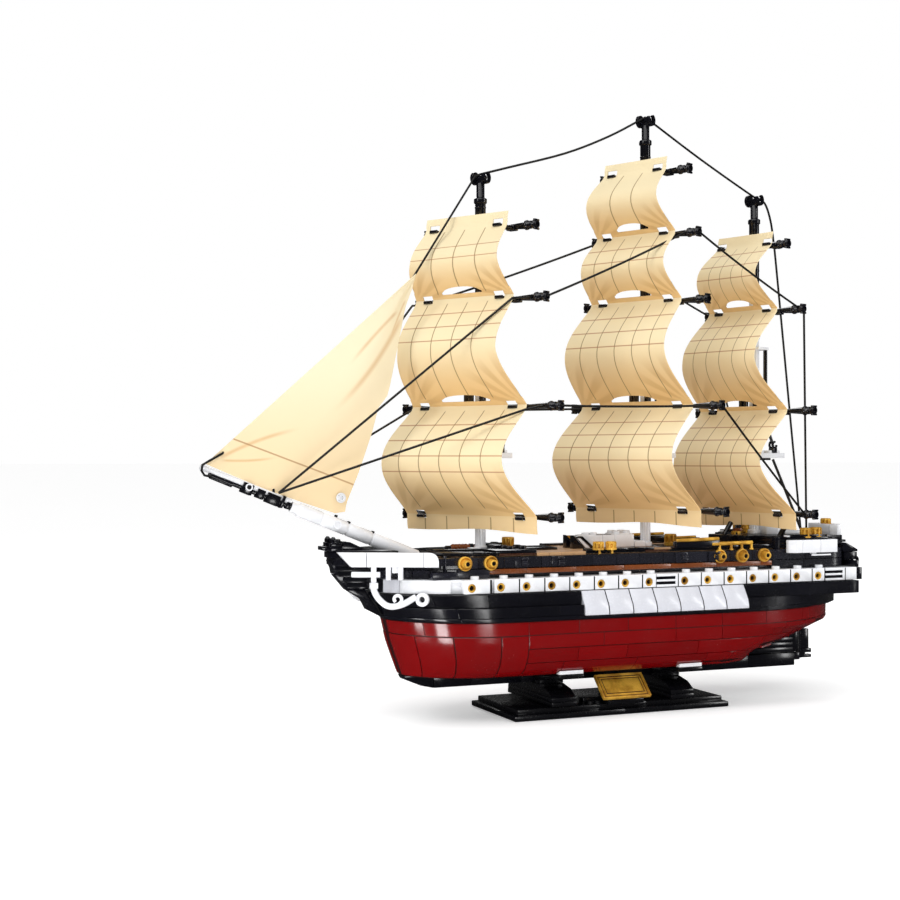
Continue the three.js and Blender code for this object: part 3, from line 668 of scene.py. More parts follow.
def sail_strip(name):
    """A grid bent to the sail, and each point's place across, height and column from the middle."""
    yards = YARDS[name]
    rows = sail_rows(yards)
    middle = len(columns_at(yards, yards[0][0])) - 1
    strip = new(bpy.ops.mesh.primitive_grid_add, x_subdivisions=2 * middle,
                y_subdivisions=len(rows) - 1, size=2)
    facts = {}
    for vertex in strip.data.vertices:
        column = round((vertex.co.x + 1) * middle) - middle
        row = round((1 - vertex.co.y) / 2 * (len(rows) - 1))
        z = rows[row]
        share, depth, width = sail_at(yards, z)[1:]
        spot = copysign(columns_at(yards, z)[abs(column)], column)
        for yard in yards[1:-1]:
            if abs(z - yard[0] - WINDOW[2]) < 0.01:
                reach = yard[2] * WINDOW[0] / width
                rise = max(0, 1 - (abs(spot) / reach) ** 2.4) ** 0.6 if abs(spot) < reach else 0
                arch = WINDOW[1] + 0.5 + (WINDOW[2] - WINDOW[1] - 0.5) * rise
                z = yard[0] + (arch if abs(spot) <= reach * 1.001 else WINDOW[1] + 1.6)
                share, depth = sail_at(yards, z)[1:3]
        if row == len(rows) - 1:
            z += 1.1 * (1 - spot * spot) + 0.5 * sin(4.5 * spot + 0.8)
        curl = 0.5 * sin(pi * min(max(share, 0), 1)) * spot ** 4
        vertex.co = ((depth + curl) * MM, spot * width * MM, z * MM)
        facts[vertex.index] = (spot, z, abs(column))
    return strip, facts, rows


def print_map(strip, facts, name):
    """Two UV maps: place on the panel, and a count of seams down and across."""
    yards = YARDS[name]
    place, seams = (strip.data.uv_layers.new(name=title) for title in ("panel", "seams"))
    for face in strip.data.polygons:
        panel = sail_at(yards, face.center.z / MM)[0]
        row = SEAMS[name][min(max(panel, 0), len(SEAMS[name]) - 1)]
        for loop in face.loop_indices:
            spot, z, _ = facts[strip.data.loops[loop].vertex_index]
            q, down = (spot + 1) / 2, 0.5
            if panel < 0:
                share = (z - yards[0][0]) / -HEAD
            elif panel >= len(yards) - 1:
                share = 2 + (yards[-1][0] - z) / FOOT
            else:
                share = (yards[panel][0] - z) / (yards[panel][0] - yards[panel + 1][0])
                down = min(max((share - row[0]) / row[1] + 1, 0.5), row[2] + 0.5)
            across = min(max((q - row[3]) / row[4] + 1, 0.5), row[5] + 0.5)
            place.data[loop].uv = (q, share)
            seams.data[loop].uv = (across, down)


def cut_openings(strip, facts, yards):
    """Opens the slots for the clips and the arched windows over the inner yards."""
    openings = set()
    for face in strip.data.polygons:
        spots = [facts[v] for v in face.vertices]
        low, high = min(z for _, z, _ in spots), max(z for _, z, _ in spots)
        columns = sorted({c for _, _, c in spots})
        for yard in yards:
            bottom, top = low - yard[0] + 0.01, high - yard[0] - 0.01
            slot = columns == [SLOT_COLUMN, SLOT_COLUMN + 1] and bottom > -SLOT[1] and top < SLOT[2]
            window = yard in yards[1:-1] and columns[-1] <= WINDOW_COLUMN
            if slot or (window and bottom > WINDOW[1] and top < WINDOW[2]):
                openings.add(face.index)
    pick(strip, lambda middle, normal: False)
    for index in openings:
        strip.data.polygons[index].select = True
    edit_picked(strip, lambda: bpy.ops.mesh.delete(type="FACE"))


# %% [markdown]
# ## The printed foil
# The foil is cream and turns tan towards each panel's foot, partly in its print and partly as
# painted shade where the panel curls under. It carries printed seams, and creases fan out of the
# lower corners, bumped and darkened as painted shade. Two UV maps lead the print: `panel` runs 0
# to 1 over each panel, and `seams` counts the seams, so that a seam lies at every whole number.

# %% Sail print


def parts_of(shader, vector):
    made = shader.tree.nodes.new("ShaderNodeSeparateXYZ")
    shader.tree.links.new(vector.socket, made.inputs[0])
    return [Sum(shader, made.outputs[i]) for i in range(3)]


def near_whole(value, width):
    """1 where the value is within the width of a whole number."""
    return ((value + 0.5).fract() - 0.5).size().ramp(width * 0.35, width, 1, 0)


def creases(shader, x, y, rays, turn):
    """Rays of crease that leave a corner at x = 0, y = 0, darkened as painted shade."""
    angle = shader.node("ShaderNodeMath", {"operation": "ARCTAN2"}, [y, x])
    far = (x * x + y * y).power(0.5)
    ray = near_whole(angle * rays + turn, 0.36)
    return ray * far.ramp(0.04, 0.16) * far.ramp(0.26, 0.52, 1, 0)


def sail_print():
    shader = Shader(bpy.data.materials.new("printed sail foil"), Sheen_Weight=0.05)
    maps = [shader.node("ShaderNodeUVMap", {"uv_map": title}, {}) for title in ("panel", "seams")]
    (across, down, _), (seam_across, seam_down, _) = (parts_of(shader, made) for made in maps)
    hem = down > 1.5
    panel_down = down - hem * 2
    # tan towards each panel's foot and on the hem: partly print, partly painted shade where the panel curls
    # under
    dark = panel_down.ramp(0.3, 0.9) * (1 - hem)
    # creases that fan out of the lower corners: bumped, and darkened as painted shade
    shaded_crease = creases(shader, 1 - across, 1 - panel_down, 2.6, 0.15)
    shaded_crease = shaded_crease.most(creases(shader, across, 1 - panel_down, 2.2, 0.35) * 0.8) * (1 - hem)
    patch = shader.noise(28, 3).ramp(0.35, 0.75)
    lines_down = near_whole(seam_across, 0.035) * panel_down.ramp(0.03, 0.05)
    lines_down = lines_down * (1 - panel_down.ramp(0.91, 0.93) * (1 - hem))
    lines_across = near_whole(seam_down, 0.055)
    base = (0.89, 0.755, 0.48, 1)
    for amount, colour in ((dark * 0.85 + hem * 0.55, (0.76, 0.475, 0.18, 1)),
                           (shaded_crease * 0.42, (0.50, 0.27, 0.08, 1)), (patch * 0.10, (0.76, 0.50, 0.22, 1)),
                           (lines_across * 0.75, (0.42, 0.17, 0.07, 1)),
                           (lines_down * 0.8, (0.26, 0.15, 0.05, 1))):
        base = shader.blend(amount, base, colour)
    shader.set("Base Color", base)
    shader.set("Roughness", 0.52 + patch * 0.12)
    weave = shader.noise(1500, 2)
    shader.bump(weave + shaded_crease * 1.5 - lines_down, 0.25, 0.00006)
    return shader.fills("sail_sheet")


SAIL = sail_print()

# %% Hang the strips


def tell_sheet(name, width, length, area):
    print(name, "sail, mm and cm2:", round(width, 1), round(length, 1), round(area * 1e4, 1))


for name, yards in YARDS.items():
    strip, facts, rows = sail_strip(name)
    print_map(strip, facts, name)
    cut_openings(strip, facts, yards)
    area = sum(face.area for face in strip.data.polygons)
    bends = [(sail_at(yards, z)[2], z) for z in rows]
    length = sum(dist(a, b) for a, b in zip(bends, bends[1:]))
    width = 2 * max(sail_at(yards, z)[3] for z in rows)
    apply_modifier(strip, "SOLIDIFY", thickness=FOIL * MM, offset=0)
    moved(strip, mast_frame(name))
    sail = finish([strip], name + "_sail_foil", SAIL, name + "_sails", angle=60)
    tell_sheet(name, width, length, area)

# %% [markdown]
# ## Masts
# A lower mast is a fluted white pipe on a round foot. A black glossy topmast stands on it,
# with a collar, a thinner head and a pair of clips on top that hold the long stay. The pipe's
# flutes are made by drawing in every second edge of a cylinder.

# %% Lower masts


def fluted_pipe(low, high, outer, inner, flutes=12):
    piece = new(bpy.ops.mesh.primitive_cylinder_add, vertices=flutes * 4, radius=outer * MM,
                depth=(high - low) * MM, location=(0, 0, (low + high) / 2 * MM))
    fix_place(piece)
    for vertex in piece.data.vertices:
        number = round(atan2(vertex.co.y, vertex.co.x) / tau * flutes * 4) % 4
        if number in (2, 3):
            vertex.co.x *= inner / outer
            vertex.co.y *= inner / outer
    return tinted(soften(piece, 0.12, 1, 50))


PLATFORM_Z = 152
PIPE_RING = [(3.2, 0), (3.6, 0.3), (3.6, 2.9), (3.2, 3.2)]
for name, (_, _, foot, cap, _) in MASTS.items():
    white = [upright([(4.1, 0), (4.1, 2.4), (3.1, 2.7)], 0, 0, foot, 24, 0.15),
             fluted_pipe(foot + 2.2, cap - 3, 3.15, 2.75), upright([(3.15, 0), (3.15, 3)], 0, 0, cap - 3)]
    white += [upright(PIPE_RING, 0, 0, low) for low in (135, 165, 197, 228)]
    white += blocks((-6.2, 4, -6.9, 6.9, 221.1, 222.9), (-16, 16, -12, 12, PLATFORM_Z, PLATFORM_Z + 3.1))
    stud = upright([(2.4, 0), (2.4, 1.5), (2.2, 1.8)], 0, 0, PLATFORM_Z + 3.05, 16)
    white += [copy_of(stud, shift(x, y)) for x in (-12, -4, 4, 12) for y in (-8, 0, 8)
              if abs(x) > 8 or abs(y) > 4]
    discard(stud)
    finish(all_moved(white, mast_frame(name)), name + "_mast_pipe", WHITE, name + "_lower_mast")
print("lower masts:", len(MASTS))

# %% [markdown]
# ## Topmasts and mast gear
# Black parts carry the fine shapes: the stepped topmast, the two clips at its head, the cheek
# bars beside the pipe and the slanting shrouds from the topmast to the platform's edge.

# %% Topmasts


def hook_clips(x, ys, z, radius, opening):
    """Clips bent round a bar, open on one side."""
    made = []
    for y in ys:
        points = [(x + radius * cos(radians(opening) + a), y,
                   z + radius * sin(radians(opening) + a)) for a in arc(17, 40, 17.5)]
        made.append(line(points, 0.8, 1))
    return made


def topmast(name):
    cap, head = MASTS[name][3:]
    profile = [(3.2, 0)] + [(r, head - cap - down) for r, down in (
        (3.2, 15.4), (3.9, 15), (3.9, 12.6), (3.4, 12.2), (2.5, 11.8), (2.5, 3.4), (1.6, 2.8))]
    parts = [upright(profile, 0, 0, cap + 0.1)]
    seam = cap + 9
    while seam < head - 17:
        parts.append(upright([(3.22, 0), (3.4, 0.2), (3.4, 0.7), (3.22, 0.9)], 0, 0, seam, 24, 0))
        seam += 9.6
    parts += blocks((-1.6, 1.6, -4.2, 4.2, head - 3.6, head - 1.2, 0.3))
    parts += [bar((0, -4, head), (0, 4, head), 1.5, 14),
              tube((0, -4.9, head), (0, 0, head), 3.85, 1.3, 1.8)]
    return parts + hook_clips(0, (4.7, 3.7), head, 3.05, 75)


def mast_gear(z):
    """Cheek bars at the pipe, shrouds to the platform at this height and the little parts on it."""
    parts = []
    for y in (-5.4, 5.4):
        parts.append(bar((-4.5, y, 178), (-4.5, y, 221), 1.3, 12))
        parts += blocks((-6.2, 0.5, y - 1.5, y + 1.5, 175, 178.4, 0.3))
    for y in (-8, 8):
        parts += blocks((-11, -7, y - 2, y + 2, z + 3.15, z + 6.5, 0.35))
        parts += hook_clips(-9, (y - 1.2, y + 1.2), z + 8.3, 2, 140)
        parts.append(bar((-9, y, z + 8.5), (-5.4, y * 0.8, z + 19), 1, 10))
    return parts + blocks((-7.5, 7.5, -7.5, 7.5, z - 1.4, z - 0.05, 0.3))


for name in MASTS:
    finish(all_moved(topmast(name) + mast_gear(PLATFORM_Z), mast_frame(name)), name + "_topmast_gear",
                 BLACK, name + "_topmast")

# %% [markdown]
# ## Yards
# A yard is a collar on the mast with two arms. Each arm is a turned nozzle that flares to a
# forked tip, and a clip on each side reaches through the sail's slot. The tip is turned once for
# every yard, because its size is the same, and only the arm between differs in length.

# %% Yard parts
TIP = [(1.2, 0), (1.3, 1.5), (2.25, 13.5), (2.5, 14), (2.9, 14.4), (2.9, 15.6), (2.4, 16), (2.4, 18.4),
       (1.6, 18.8), (1.6, 20), (3, 20.4), (3, 21.6), (2.3, 22), (2.3, 22.6), (1.5, 22.6), (1.3, 21.4)]
TIP_LENGTH = 22.6
COLLAR = 4.2


def yard_arm(half, z, side):
    """From the collar out: a round arm, two rings and the nozzle."""
    length = half - TIP_LENGTH
    start = max(COLLAR, length)
    root = [(1.35, start - 1), (1.2, start - 0.4)] if start > COLLAR + 0.1 else [(1.3, start + 0.4)]
    tip = [(r, h + length) for r, h in TIP if h + length > start + 0.5]
    return turned([(1.35, COLLAR)] + root + tip, (0, 0, z), (0, side * 10, z), 20, 0.1)


def yard(z, half, slot, depth):
    parts = [tube((0, 0, z - 2.9), (0, 0, z), 5, 3.3, 5.8)]
    for side in (-1, 1):
        parts.append(yard_arm(half, z, side))
        y, tip = side * slot, side * (half - 1)
        parts += blocks((-2.4, 2.4, y - 2.8, y + 2.8, z - 2.4, z + 0.6, 0.4),
                        (1.5, depth + 1.8, y - 2.3, y + 2.3, z - 1.5, z + 0.1, 0.3))
        parts.append(bar((depth + 1.5, y - 2.6, z - 0.6), (depth + 1.5, y + 2.6, z - 0.6), 1.05, 12))
        parts += blocks((-2.6, 2.6, tip - 0.6, tip + 0.6, z - 3.1, z - 1.9),
                        (-2.6, 2.6, tip - 0.6, tip + 0.6, z + 1.9, z + 3.1))
    return parts


WINDOW_YARDS = ("fore_3", "main_4", "mizzen_3")
for name, rows in YARDS.items():
    for number, row in enumerate(rows, 1):
        parts = yard(*row[:4])
        if f"{name}_{number}" in WINDOW_YARDS:
            # upright bars beside the pipe, seen through the sail's window
            low, high = row[0] - 1.5, row[0] + 8.5
            parts += blocks((-2.2, 0.2, -12.3, -10, low, high), (-2.2, 0.2, -8.6, -6.2, low, high),
                            (4, 6.4, 3.6, 7.2, low, high), bevel=0.3)
        finish(all_moved(parts, mast_frame(name)), f"{name}_yard_spar_{number}", BLACK,
                     f"{name}_yard_{number}")
print("yards:", sum(len(rows) for rows in YARDS.values()))

# %% [markdown]
# ## Rigging
# The toy's rigging is thin black elastic cord, always taut, so each run is a straight or barely
# sagging line between two clips. A cord is a path with a round section, turned into a mesh.

# %% Points on the yards


def from_mast(mast, x, y, z):
    """A point of the mast's own frame, in millimetres."""
    return (mast_frame(mast) @ Vector((x * MM, y * MM, z * MM))) / MM


def on_yard(side, mast, number, inward, forward=0):
    z, half = YARDS[mast][number - 1][:2]
    return from_mast(mast, forward, side * (half - inward), z)


def across_mast(mast, point):
    """The point on the other arm: mirrored in the mast's own frame, since the yards are braced."""
    local = mast_frame(mast).inverted() @ (Vector(point) * MM)
    return (mast_frame(mast) @ Vector((local.x, -local.y, local.z))) / MM


def taut(start, end, sag, steps=12):
    """A run between two points, with a little sag."""
    shares = [k / steps for k in range(steps + 1)]
    return [start.lerp(end, t) - Vector((0, 0, sag * 4 * t * (1 - t))) for t in shares]


CORD = 0.68
STAY_FORE = [(242.4, 2.2, 141.8), (246.4, 2.4, 142.6), (248, 2.3, 145.2), (247.6, 2.5, 148.3),
             (243, 2.7, 151), (236.4, 2.6, 154.6), (234.4, -1, 156.4), (122.6, -0.8, 256.9),
             (83.4, 0, 318.8), (80, 0, 320.3)]
STAY_MID = [(80, 0, 320.3), (62, 0, 325.6), (24, 0, 337), (-6, 0, 349.7), (-32, 0, 363.8)]
STAY_AFT = [(-32, 0, 363.8), (-72, 0, 340.7), (-112, 0, 319.5), (-116.5, 0, 318.6), (-121, 0, 314.6),
            (-124.6, 0, 304.7), (-126.8, 0, 292), (-129.2, 0, 273), (-138, 0, 194.2), (-148, 0, 104.5)]
CLAMP = (204.5, 3, 132.5)
# a head brace's points past the clamp: before the yard and on it
BRACES = [((72.2, 44.6, 179.5), (58.9, 40.9, 182)), ((78.2, 41.1, 243), (62.9, 34, 245))]
# mast, yard and distance in from its tip, then the same for the mast behind, and the sag
RUNS = [(("fore", 2, 1), ("main", 2, 8.6, 2.6), 1), (("main", 2, 1), ("mizzen", 2, 3), 1.2),
        (("fore", 3, 1), ("main", 4, 9, 2.6), 0.6), (("main", 4, 1), ("mizzen", 4, 7, 2.2), 0.8)]
cords = [line(STAY_FORE, CORD), line(smooth_path(STAY_MID, 5), CORD), line(smooth_path(STAY_AFT, 5), CORD)]
for side in SIDES:
    x, y, z = CLAMP
    for brace in BRACES:
        points = [Vector(p) if side > 0 else across_mast("fore", p) for p in brace]
        cords.append(line([(x, side * y, z), *points], CORD))
    cords += [line(taut(on_yard(side, *a), on_yard(side, *b), sag), CORD) for a, b, sag in RUNS]
    cords.append(line([on_yard(side, "mizzen", 2, 0.5), (-132, side * 28, 104.4)], CORD))
    top = from_mast("mizzen", -9, side * 8, 151)
    cords.append(line([top, (top.x - 9, side * 24, 104.4)], 0.9))
finish(cords, "rigging_cords", CORD_BLACK, "main_stay")
print("cords:", len(cords))

# %% [markdown]
# ## Bricks on a curved hull
# The hull's bricks wrap round the bow, so a straight box can't make them. Each one starts as a
# flat grid that is laid on the hull like a sticker: every point of the grid goes to a height and
# a place along the waterline. A wall and rounded edges then turn the sticker into a shell of
# plastic a fraction of a millimetre proud of the frame's solid, with a real seam round it.

# %% Hull form
SHOULDER = 84
BOW_SPAN = 57
TAPER_X = -60
# height, half-breadth, tip of the bow, then the stern: its x, half-breadth there and fullness
RED_LEVELS = [(26.6, 34, 130.6, -87, 24, 2), (29.5, 39.5, 131.6, -88, 27, 2), (33.5, 43.5, 133, -93, 28, 2),
              (39, 46.6, 135, -121, 22, 2), (46, 48, 137.5, -152, 10, 2.2), (49, 48, 138.3, -163.5, 5, 3),
              (59.4, 48, 141, -165, 3.5, 3)]
COUNTER = [(row[3], row[0]) for row in RED_LEVELS]


def between(table, value, column=1):
    """A straight-line reading of a table whose first column is sorted either way."""
    rows = sorted(table)
    if value <= rows[0][0]:
        return rows[0][column]
    for a, b in zip(rows, rows[1:]):
        if value <= b[0]:
            return a[column] + (b[column] - a[column]) * (value - a[0]) / (b[0] - a[0])
    return rows[-1][column]


def taper(share, half, end_half, power):
    """Half-breadth aft of TAPER_X, where the lower hull narrows to the sternpost."""
    return end_half + (half - end_half) * (1 - min(max(share, 0), 1) ** power)


def bow_curve(u, shoulder, half, tip, tip_half, fullness, span):
    """A point of a bow waterline: u runs from the shoulder over the span."""
    t = min(max((u - shoulder) / span, 0), 1) * pi / 2
    x = shoulder + (tip - shoulder) * sin(t)
    return x, tip_half + (half - tip_half) * max(cos(t), 0) ** fullness


def red_skin(u, z):
    half = between(RED_LEVELS, z)
    if u > SHOULDER:
        return bow_curve(u, SHOULDER, half, between(RED_LEVELS, z, 2), 3, 1.25, BOW_SPAN)
    if u > TAPER_X:
        return u, half
    share = (TAPER_X - u) / (TAPER_X - between(RED_LEVELS, z, 3))
    return u, between([(row[0], taper(share, row[1], *row[4:])) for row in RED_LEVELS], z)


def above_counter(least=0):
    """A course's lower edge, which rises to the stern with the red bottom."""
    return lambda u: max(least, between(COUNTER, u) + 0.3)


# %% A brick laid on a skin


def wrapped(skin, u0, u1, low, high, side=1, gap=0.12, wall=0.9, proud=0.15):
    """A curved brick. Its low edge may be a number or a function of u."""
    low_at = low if callable(low) else (lambda u: low)
    columns = max(2, ceil((u1 - u0) / 3)) if u1 > SHOULDER - 2 or u0 < TAPER_X - 20 else 2
    piece = new(bpy.ops.mesh.primitive_grid_add, x_subdivisions=columns,
                y_subdivisions=max(2, ceil(abs(high - low_at(u0)) / 3)), size=2)
    for vertex in piece.data.vertices:
        u = u0 + gap + (u1 - u0 - 2 * gap) * (vertex.co.x + 1) / 2
        z = low_at(u) + gap + (high - low_at(u) - 2 * gap) * (vertex.co.y + 1) / 2
        x, y = skin(u, z)
        (x0, y0), (x1, y1) = skin(u - 0.5, z), skin(u + 0.5, z)
        along = Vector((x1 - x0, y1 - y0))
        out = Vector((-along.y, along.x)).normalized() * proud if along.length else Vector((0, proud))
        if out.y < 0:
            out = -out
        vertex.co = ((x + out.x) * MM, side * (y + out.y) * MM, z * MM)
    # the grid's normal points to starboard, so the wall goes inward by the sign of the side
    apply_modifier(piece, "SOLIDIFY", thickness=wall * MM, offset=side)
    return tinted(soften(face_out(piece), 0.16, 1, 50))


def course(skin, cuts, low, high, **settings):
    """A row of bricks on both sides between the cuts, listed from bow to stern."""
    return [wrapped(skin, back, front, low, high, side, **settings)
            for side in SIDES for front, back in zip(cuts, cuts[1:])]


# %% Red bottom
red = course(red_skin, [140.4, 116, 71, 39, 7, -25, -57, -89, -121, -145, -163.8], 51.7, 59.3)
red += course(red_skin, [140.4, 121, 104.7, 86.6, 71], above_counter(), 51.5, gap=0.25, proud=0.4)
red += course(red_skin, [70.8, 23, -25, -57, -105, -137, -163.2], above_counter(43.8), 51.5, proud=0.3)
red += course(red_skin, [70.8, 39, 7, -41, -89, -113, -139], above_counter(35.4), 43.6, proud=0.35)
red += course(red_skin, [70.8, 47, -1, -49, -90, -106], above_counter(), 35.2, proud=0.4)
finish(red, "red_bottom_bricks", RED)
print("red bricks:", len(red))

# %% [markdown]
# ## The black wale
# Two rows of black bricks step in above the red bottom, over a thin lip. The same stickers make
# them, on the wale's own fuller waterlines, with a shorter rhythm of seams near the bow.

# %% Wale
WALE_SHOULDER = 86


def wale_skin(half, tip_low, tip_high, low, high, end_half=0):
    def skin(u, z):
        if u > WALE_SHOULDER:
            share = min(max((z - low) / (high - low), 0), 1)
            tip = tip_low + (tip_high - tip_low) * share
            return bow_curve(u, WALE_SHOULDER, half, tip, 3, 1.25, 60)
        if end_half and u < TAPER_X:
            return u, taper((TAPER_X - u) / (TAPER_X + 165), half, end_half, 3)
        return u, half - max(0, (-157 - u) / 3)
    return skin


row_one = wale_skin(48.4, 141.5, 146, 59.7, 67.7, 12)
row_two = wale_skin(45, 146, 152, 67.7, 75.3)
lip_row = wale_skin(49, 141.5, 142.5, 59.7, 61.2, 7)
black = []
for cuts, top in (([145, 126, 103, 71, 39], 61.9), ([39, 7, -25, -57, -89], 61.4),
                  ([-89, -113, -137, -164.6], 61.9)):
    black += course(lip_row, cuts, 59.75, top, wall=0.7)
black += course(row_one, [145, 128, 103.5, 71, 51.8, 36.2], 61.9, 67.7)
black += course(row_one, [-76.2, -96, -120, -144, -164.6], 61.9, 67.7)
black += course(row_two, [145, 131, 110.5, 91, 75.4, 67.7, 51.8, 36.2], 67.8, 75.2)
black += course(row_two, [-76.2, -104, -128, -136, -152, -160], 67.8, 75.2)
finish(black, "wale_bricks", BLACK)
print("wale bricks:", len(black))

# %% [markdown]
# ## Pale panels amidships
# Seven pale grey slope bricks on each side carry the gun deck's ladder. One slope is modelled
# from its outline, then copied six times along the side and mirrored to the other. A black core
# behind them darkens the joints as painted shade.

# %% Slope bricks
PANEL = (35.8, -75.6, 7)        # fore end, aft end and how many
SLOPE = [(42.2, 61.6), (49.3, 61.6), (49.3, 63.6), (48.3, 67.1), (45.9, 70.9), (43.6, 74.6), (43.2, 75.3),
         (42.2, 75.3)]
CORE = [(42.3, 61.9), (49, 61.9), (49, 63.4), (48, 66.9), (45.6, 70.7), (43.3, 74.4), (42.9, 75.1),
        (42.3, 75.1)]
pitch = (PANEL[0] - PANEL[1]) / PANEL[2]
panels = []
first = slab(SLOPE, "X", PANEL[1] + 0.33, PANEL[1] + pitch - 0.33, 0.3)
for k in range(PANEL[2]):
    twin = tinted(copy_of(first, shift(k * pitch)))
    panels += [twin, face_out(copy_of(twin, FLIP))]
discard(first)
finish(panels, "slope_panels", GREY, "wale_panels_port", "wale_panels_starboard")
# a black core that darkens the joints between the slopes: painted shade
joint_shade_cores = [slab([(side * y, z) for y, z in CORE[::side]], "X", PANEL[1] + 0.6, PANEL[0] - 0.6, 0)
         for side in SIDES]
finish(joint_shade_cores, "slope_panel_joint_shade", BLACK)
print("slope bricks:", len(panels))

# %% [markdown]
# ## The gun belt
# The white belt repeats every sixteen millimetres. A brick with a hole holds a gold ring as a
# gun's muzzle, a stud stands on top between two ports, and a joint closes each repeat. A black
# plug in the ring and a black strip behind the joint are painted shade. The repeat is modelled
# once and copied along both sides. The hole is real, cut by a cylinder.

# %% Port brick
PORT_BOW = 103.6
PORT_RUNS = (85.7, -34.6)
PORT_PITCH = 16
PORT_COUNT = 7
PORT_Z = 78.9
BELT_HALF = 42
BELT = (75.7, 83.5)             # foot and top
BELT_INNER = (75.8, 83.3)
BELT_WALL = (36, BELT_HALF + 0.3)


def brick_with_hole(x, radius, bevel):
    """A brick that spans x, with a round hole at x = 0."""
    piece = block(x, BELT_WALL, BELT, 0)
    out = BELT_WALL[1]
    drill = turned([(radius, 0), (radius, 6)], (0, out - 4, PORT_Z), (0, out, PORT_Z), 24, 0)
    apply_modifier(piece, "BOOLEAN", operation="DIFFERENCE", object=drill, solver="EXACT")
    discard(drill)
    return tinted(soften(piece, bevel, 2, 40))


def port_module(aft, fore):
    """One repeat of the belt round a port at x = 0: brick and stud, gold ring, and black plug and joint
    strip as painted shade.
    """
    white = [brick_with_hole((aft + 0.42, fore - 0.42), 2.5, 0.18),
             upright(STUD, -3.4, 38, BELT[1], 20, 0)]
    ring = [tube((0, BELT_HALF - 3, PORT_Z), (0, BELT_HALF - 0.1, PORT_Z), 2.4, 1.5, 3, 28, 0.12)]
    shade_fill = [turned([(1.6, 0), (1.6, 0.8)], (0, BELT_HALF - 2.6, PORT_Z), (0, BELT_HALF, PORT_Z), 20, 0),
            block((aft - 0.8, aft + 0.8), (BELT_HALF - 4, BELT_HALF + 0.05), BELT_INNER, 0)]
    return white, ring, shade_fill


def mirrored_copy(piece):
    return tinted(face_out(copy_of(piece, FLIP)))


def spread(parts, places):
    """Copies of the parts at each place along the ship, on both sides."""
    made = []
    for part in parts:
        pair = (part, mirrored_copy(part))
        made += [tinted(copy_of(one, shift(x))) for x in places for one in pair]
        discard(*pair)
    return made


places = [start - k * PORT_PITCH for start in PORT_RUNS for k in range(PORT_COUNT - 1)]
module, ring, shade_fill = port_module(-11.5, 4.5)
belt = spread(module, places)
rings = spread(ring, [PORT_BOW, *places])
shade_fills = spread(shade_fill, [PORT_BOW, *places])
# the last repeat of each run is short, for a grille follows its port
last = [start - (PORT_COUNT - 1) * PORT_PITCH for start in PORT_RUNS]
module, ring, shade_fill = port_module(-5, 4.5)
belt += spread(module, last)
rings += spread(ring, last)
shade_fills += spread(shade_fill[:1], last)
discard(shade_fill[1])

# %% Ends of the belt, grilles and core
BELT_SHOULDER = 92


def belt_skin(u, z):
    if u <= BELT_SHOULDER:
        return u, BELT_HALF - 0.15
    return bow_curve(u, BELT_SHOULDER, BELT_HALF - 0.15, 150, 6, 1.35, 66)


# the bow's own port stands on the first bend of the curve
module, ring, shade_fill = port_module(-11.5, 5.2)
discard(*ring, *shade_fill)
belt += spread(module, [PORT_BOW])
belt += course(belt_skin, [132.5, 108.9], *BELT, wall=1.6)
# grey bricks at the belt's bow corner, where the white belt turns away: painted shade
finish(course(belt_skin, [143.5, 132.5], *BELT, wall=1.6), "belt_corner_shaded_bricks", GREY)
finish(course(belt_skin, [158, 143.5], *BELT, wall=1.6), "belt_end_bricks", BLACK)
for side in SIDES:
    face, back, joint = ((side * 38, side * (BELT_HALF + out)) for out in (0.3, -0.3, 0.05))
    for x in (-28.4, -149.2):
        bars = ((BELT[0], 77.1), (78.9, 80.1), (81.9, BELT[1]))
        belt += blocks(*[(x, x + 13, *face, *z) for z in bars], bevel=0.12)
        belt += blocks((x - 1.4, x, *face, *BELT, 0.1))
        # black backs behind the grilles and strips behind the joints: painted shade
        shade_fills += blocks((x - 0.1, x + 13.1, *back, BELT[0], BELT[1] - 0.1),
                        (x - 2.2, x - 1, *joint, *BELT_INNER), bevel=0)
    belt += blocks((-159.9, -151.1, side * 36, side * (BELT_HALF - 0.1), *BELT, 0.18))
# inside them the frame's own solid stays as a core, a little narrower
only(frame["nodes"]["gun_belt"])
bpy.ops.object.duplicate(linked=False)
inside = bpy.context.object
inside.parent = None
for key in [k for k in inside.keys() if k.startswith("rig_")]:
    del inside[key]
edit(inside, lambda: bpy.ops.mesh.remove_doubles(threshold=0.000001))
for vertex in inside.data.vertices:
    vertex.co.y *= 0.955
    vertex.co.z = min(vertex.co.z, BELT[1] * MM - 0.0001)
belt.append(tinted(inside))
finish(belt, "gun_belt_bricks", WHITE, "gun_belt")
finish(rings, "gun_port_rings", GOLD)
finish(shade_fills, "gun_belt_shade_fills", BLACK)
print("belt bricks:", len(belt), "port rings:", len(rings))

# %% [markdown]
# ## The bow
# Black slopes step down and aft to make the stem. White bricks flank it as wings, and each is one
# profile in X and Z, extruded to the brick's thickness and then leaned onto the wing's slanted
# line. Under them a bent bar with a ring curls round the belt's corner brick, grey as painted shade.

# %% Stem


def closed(port):
    """An outline from its port half: the same points again on the starboard side."""
    return port + [(x, -y) for x, y in reversed(port) if y]


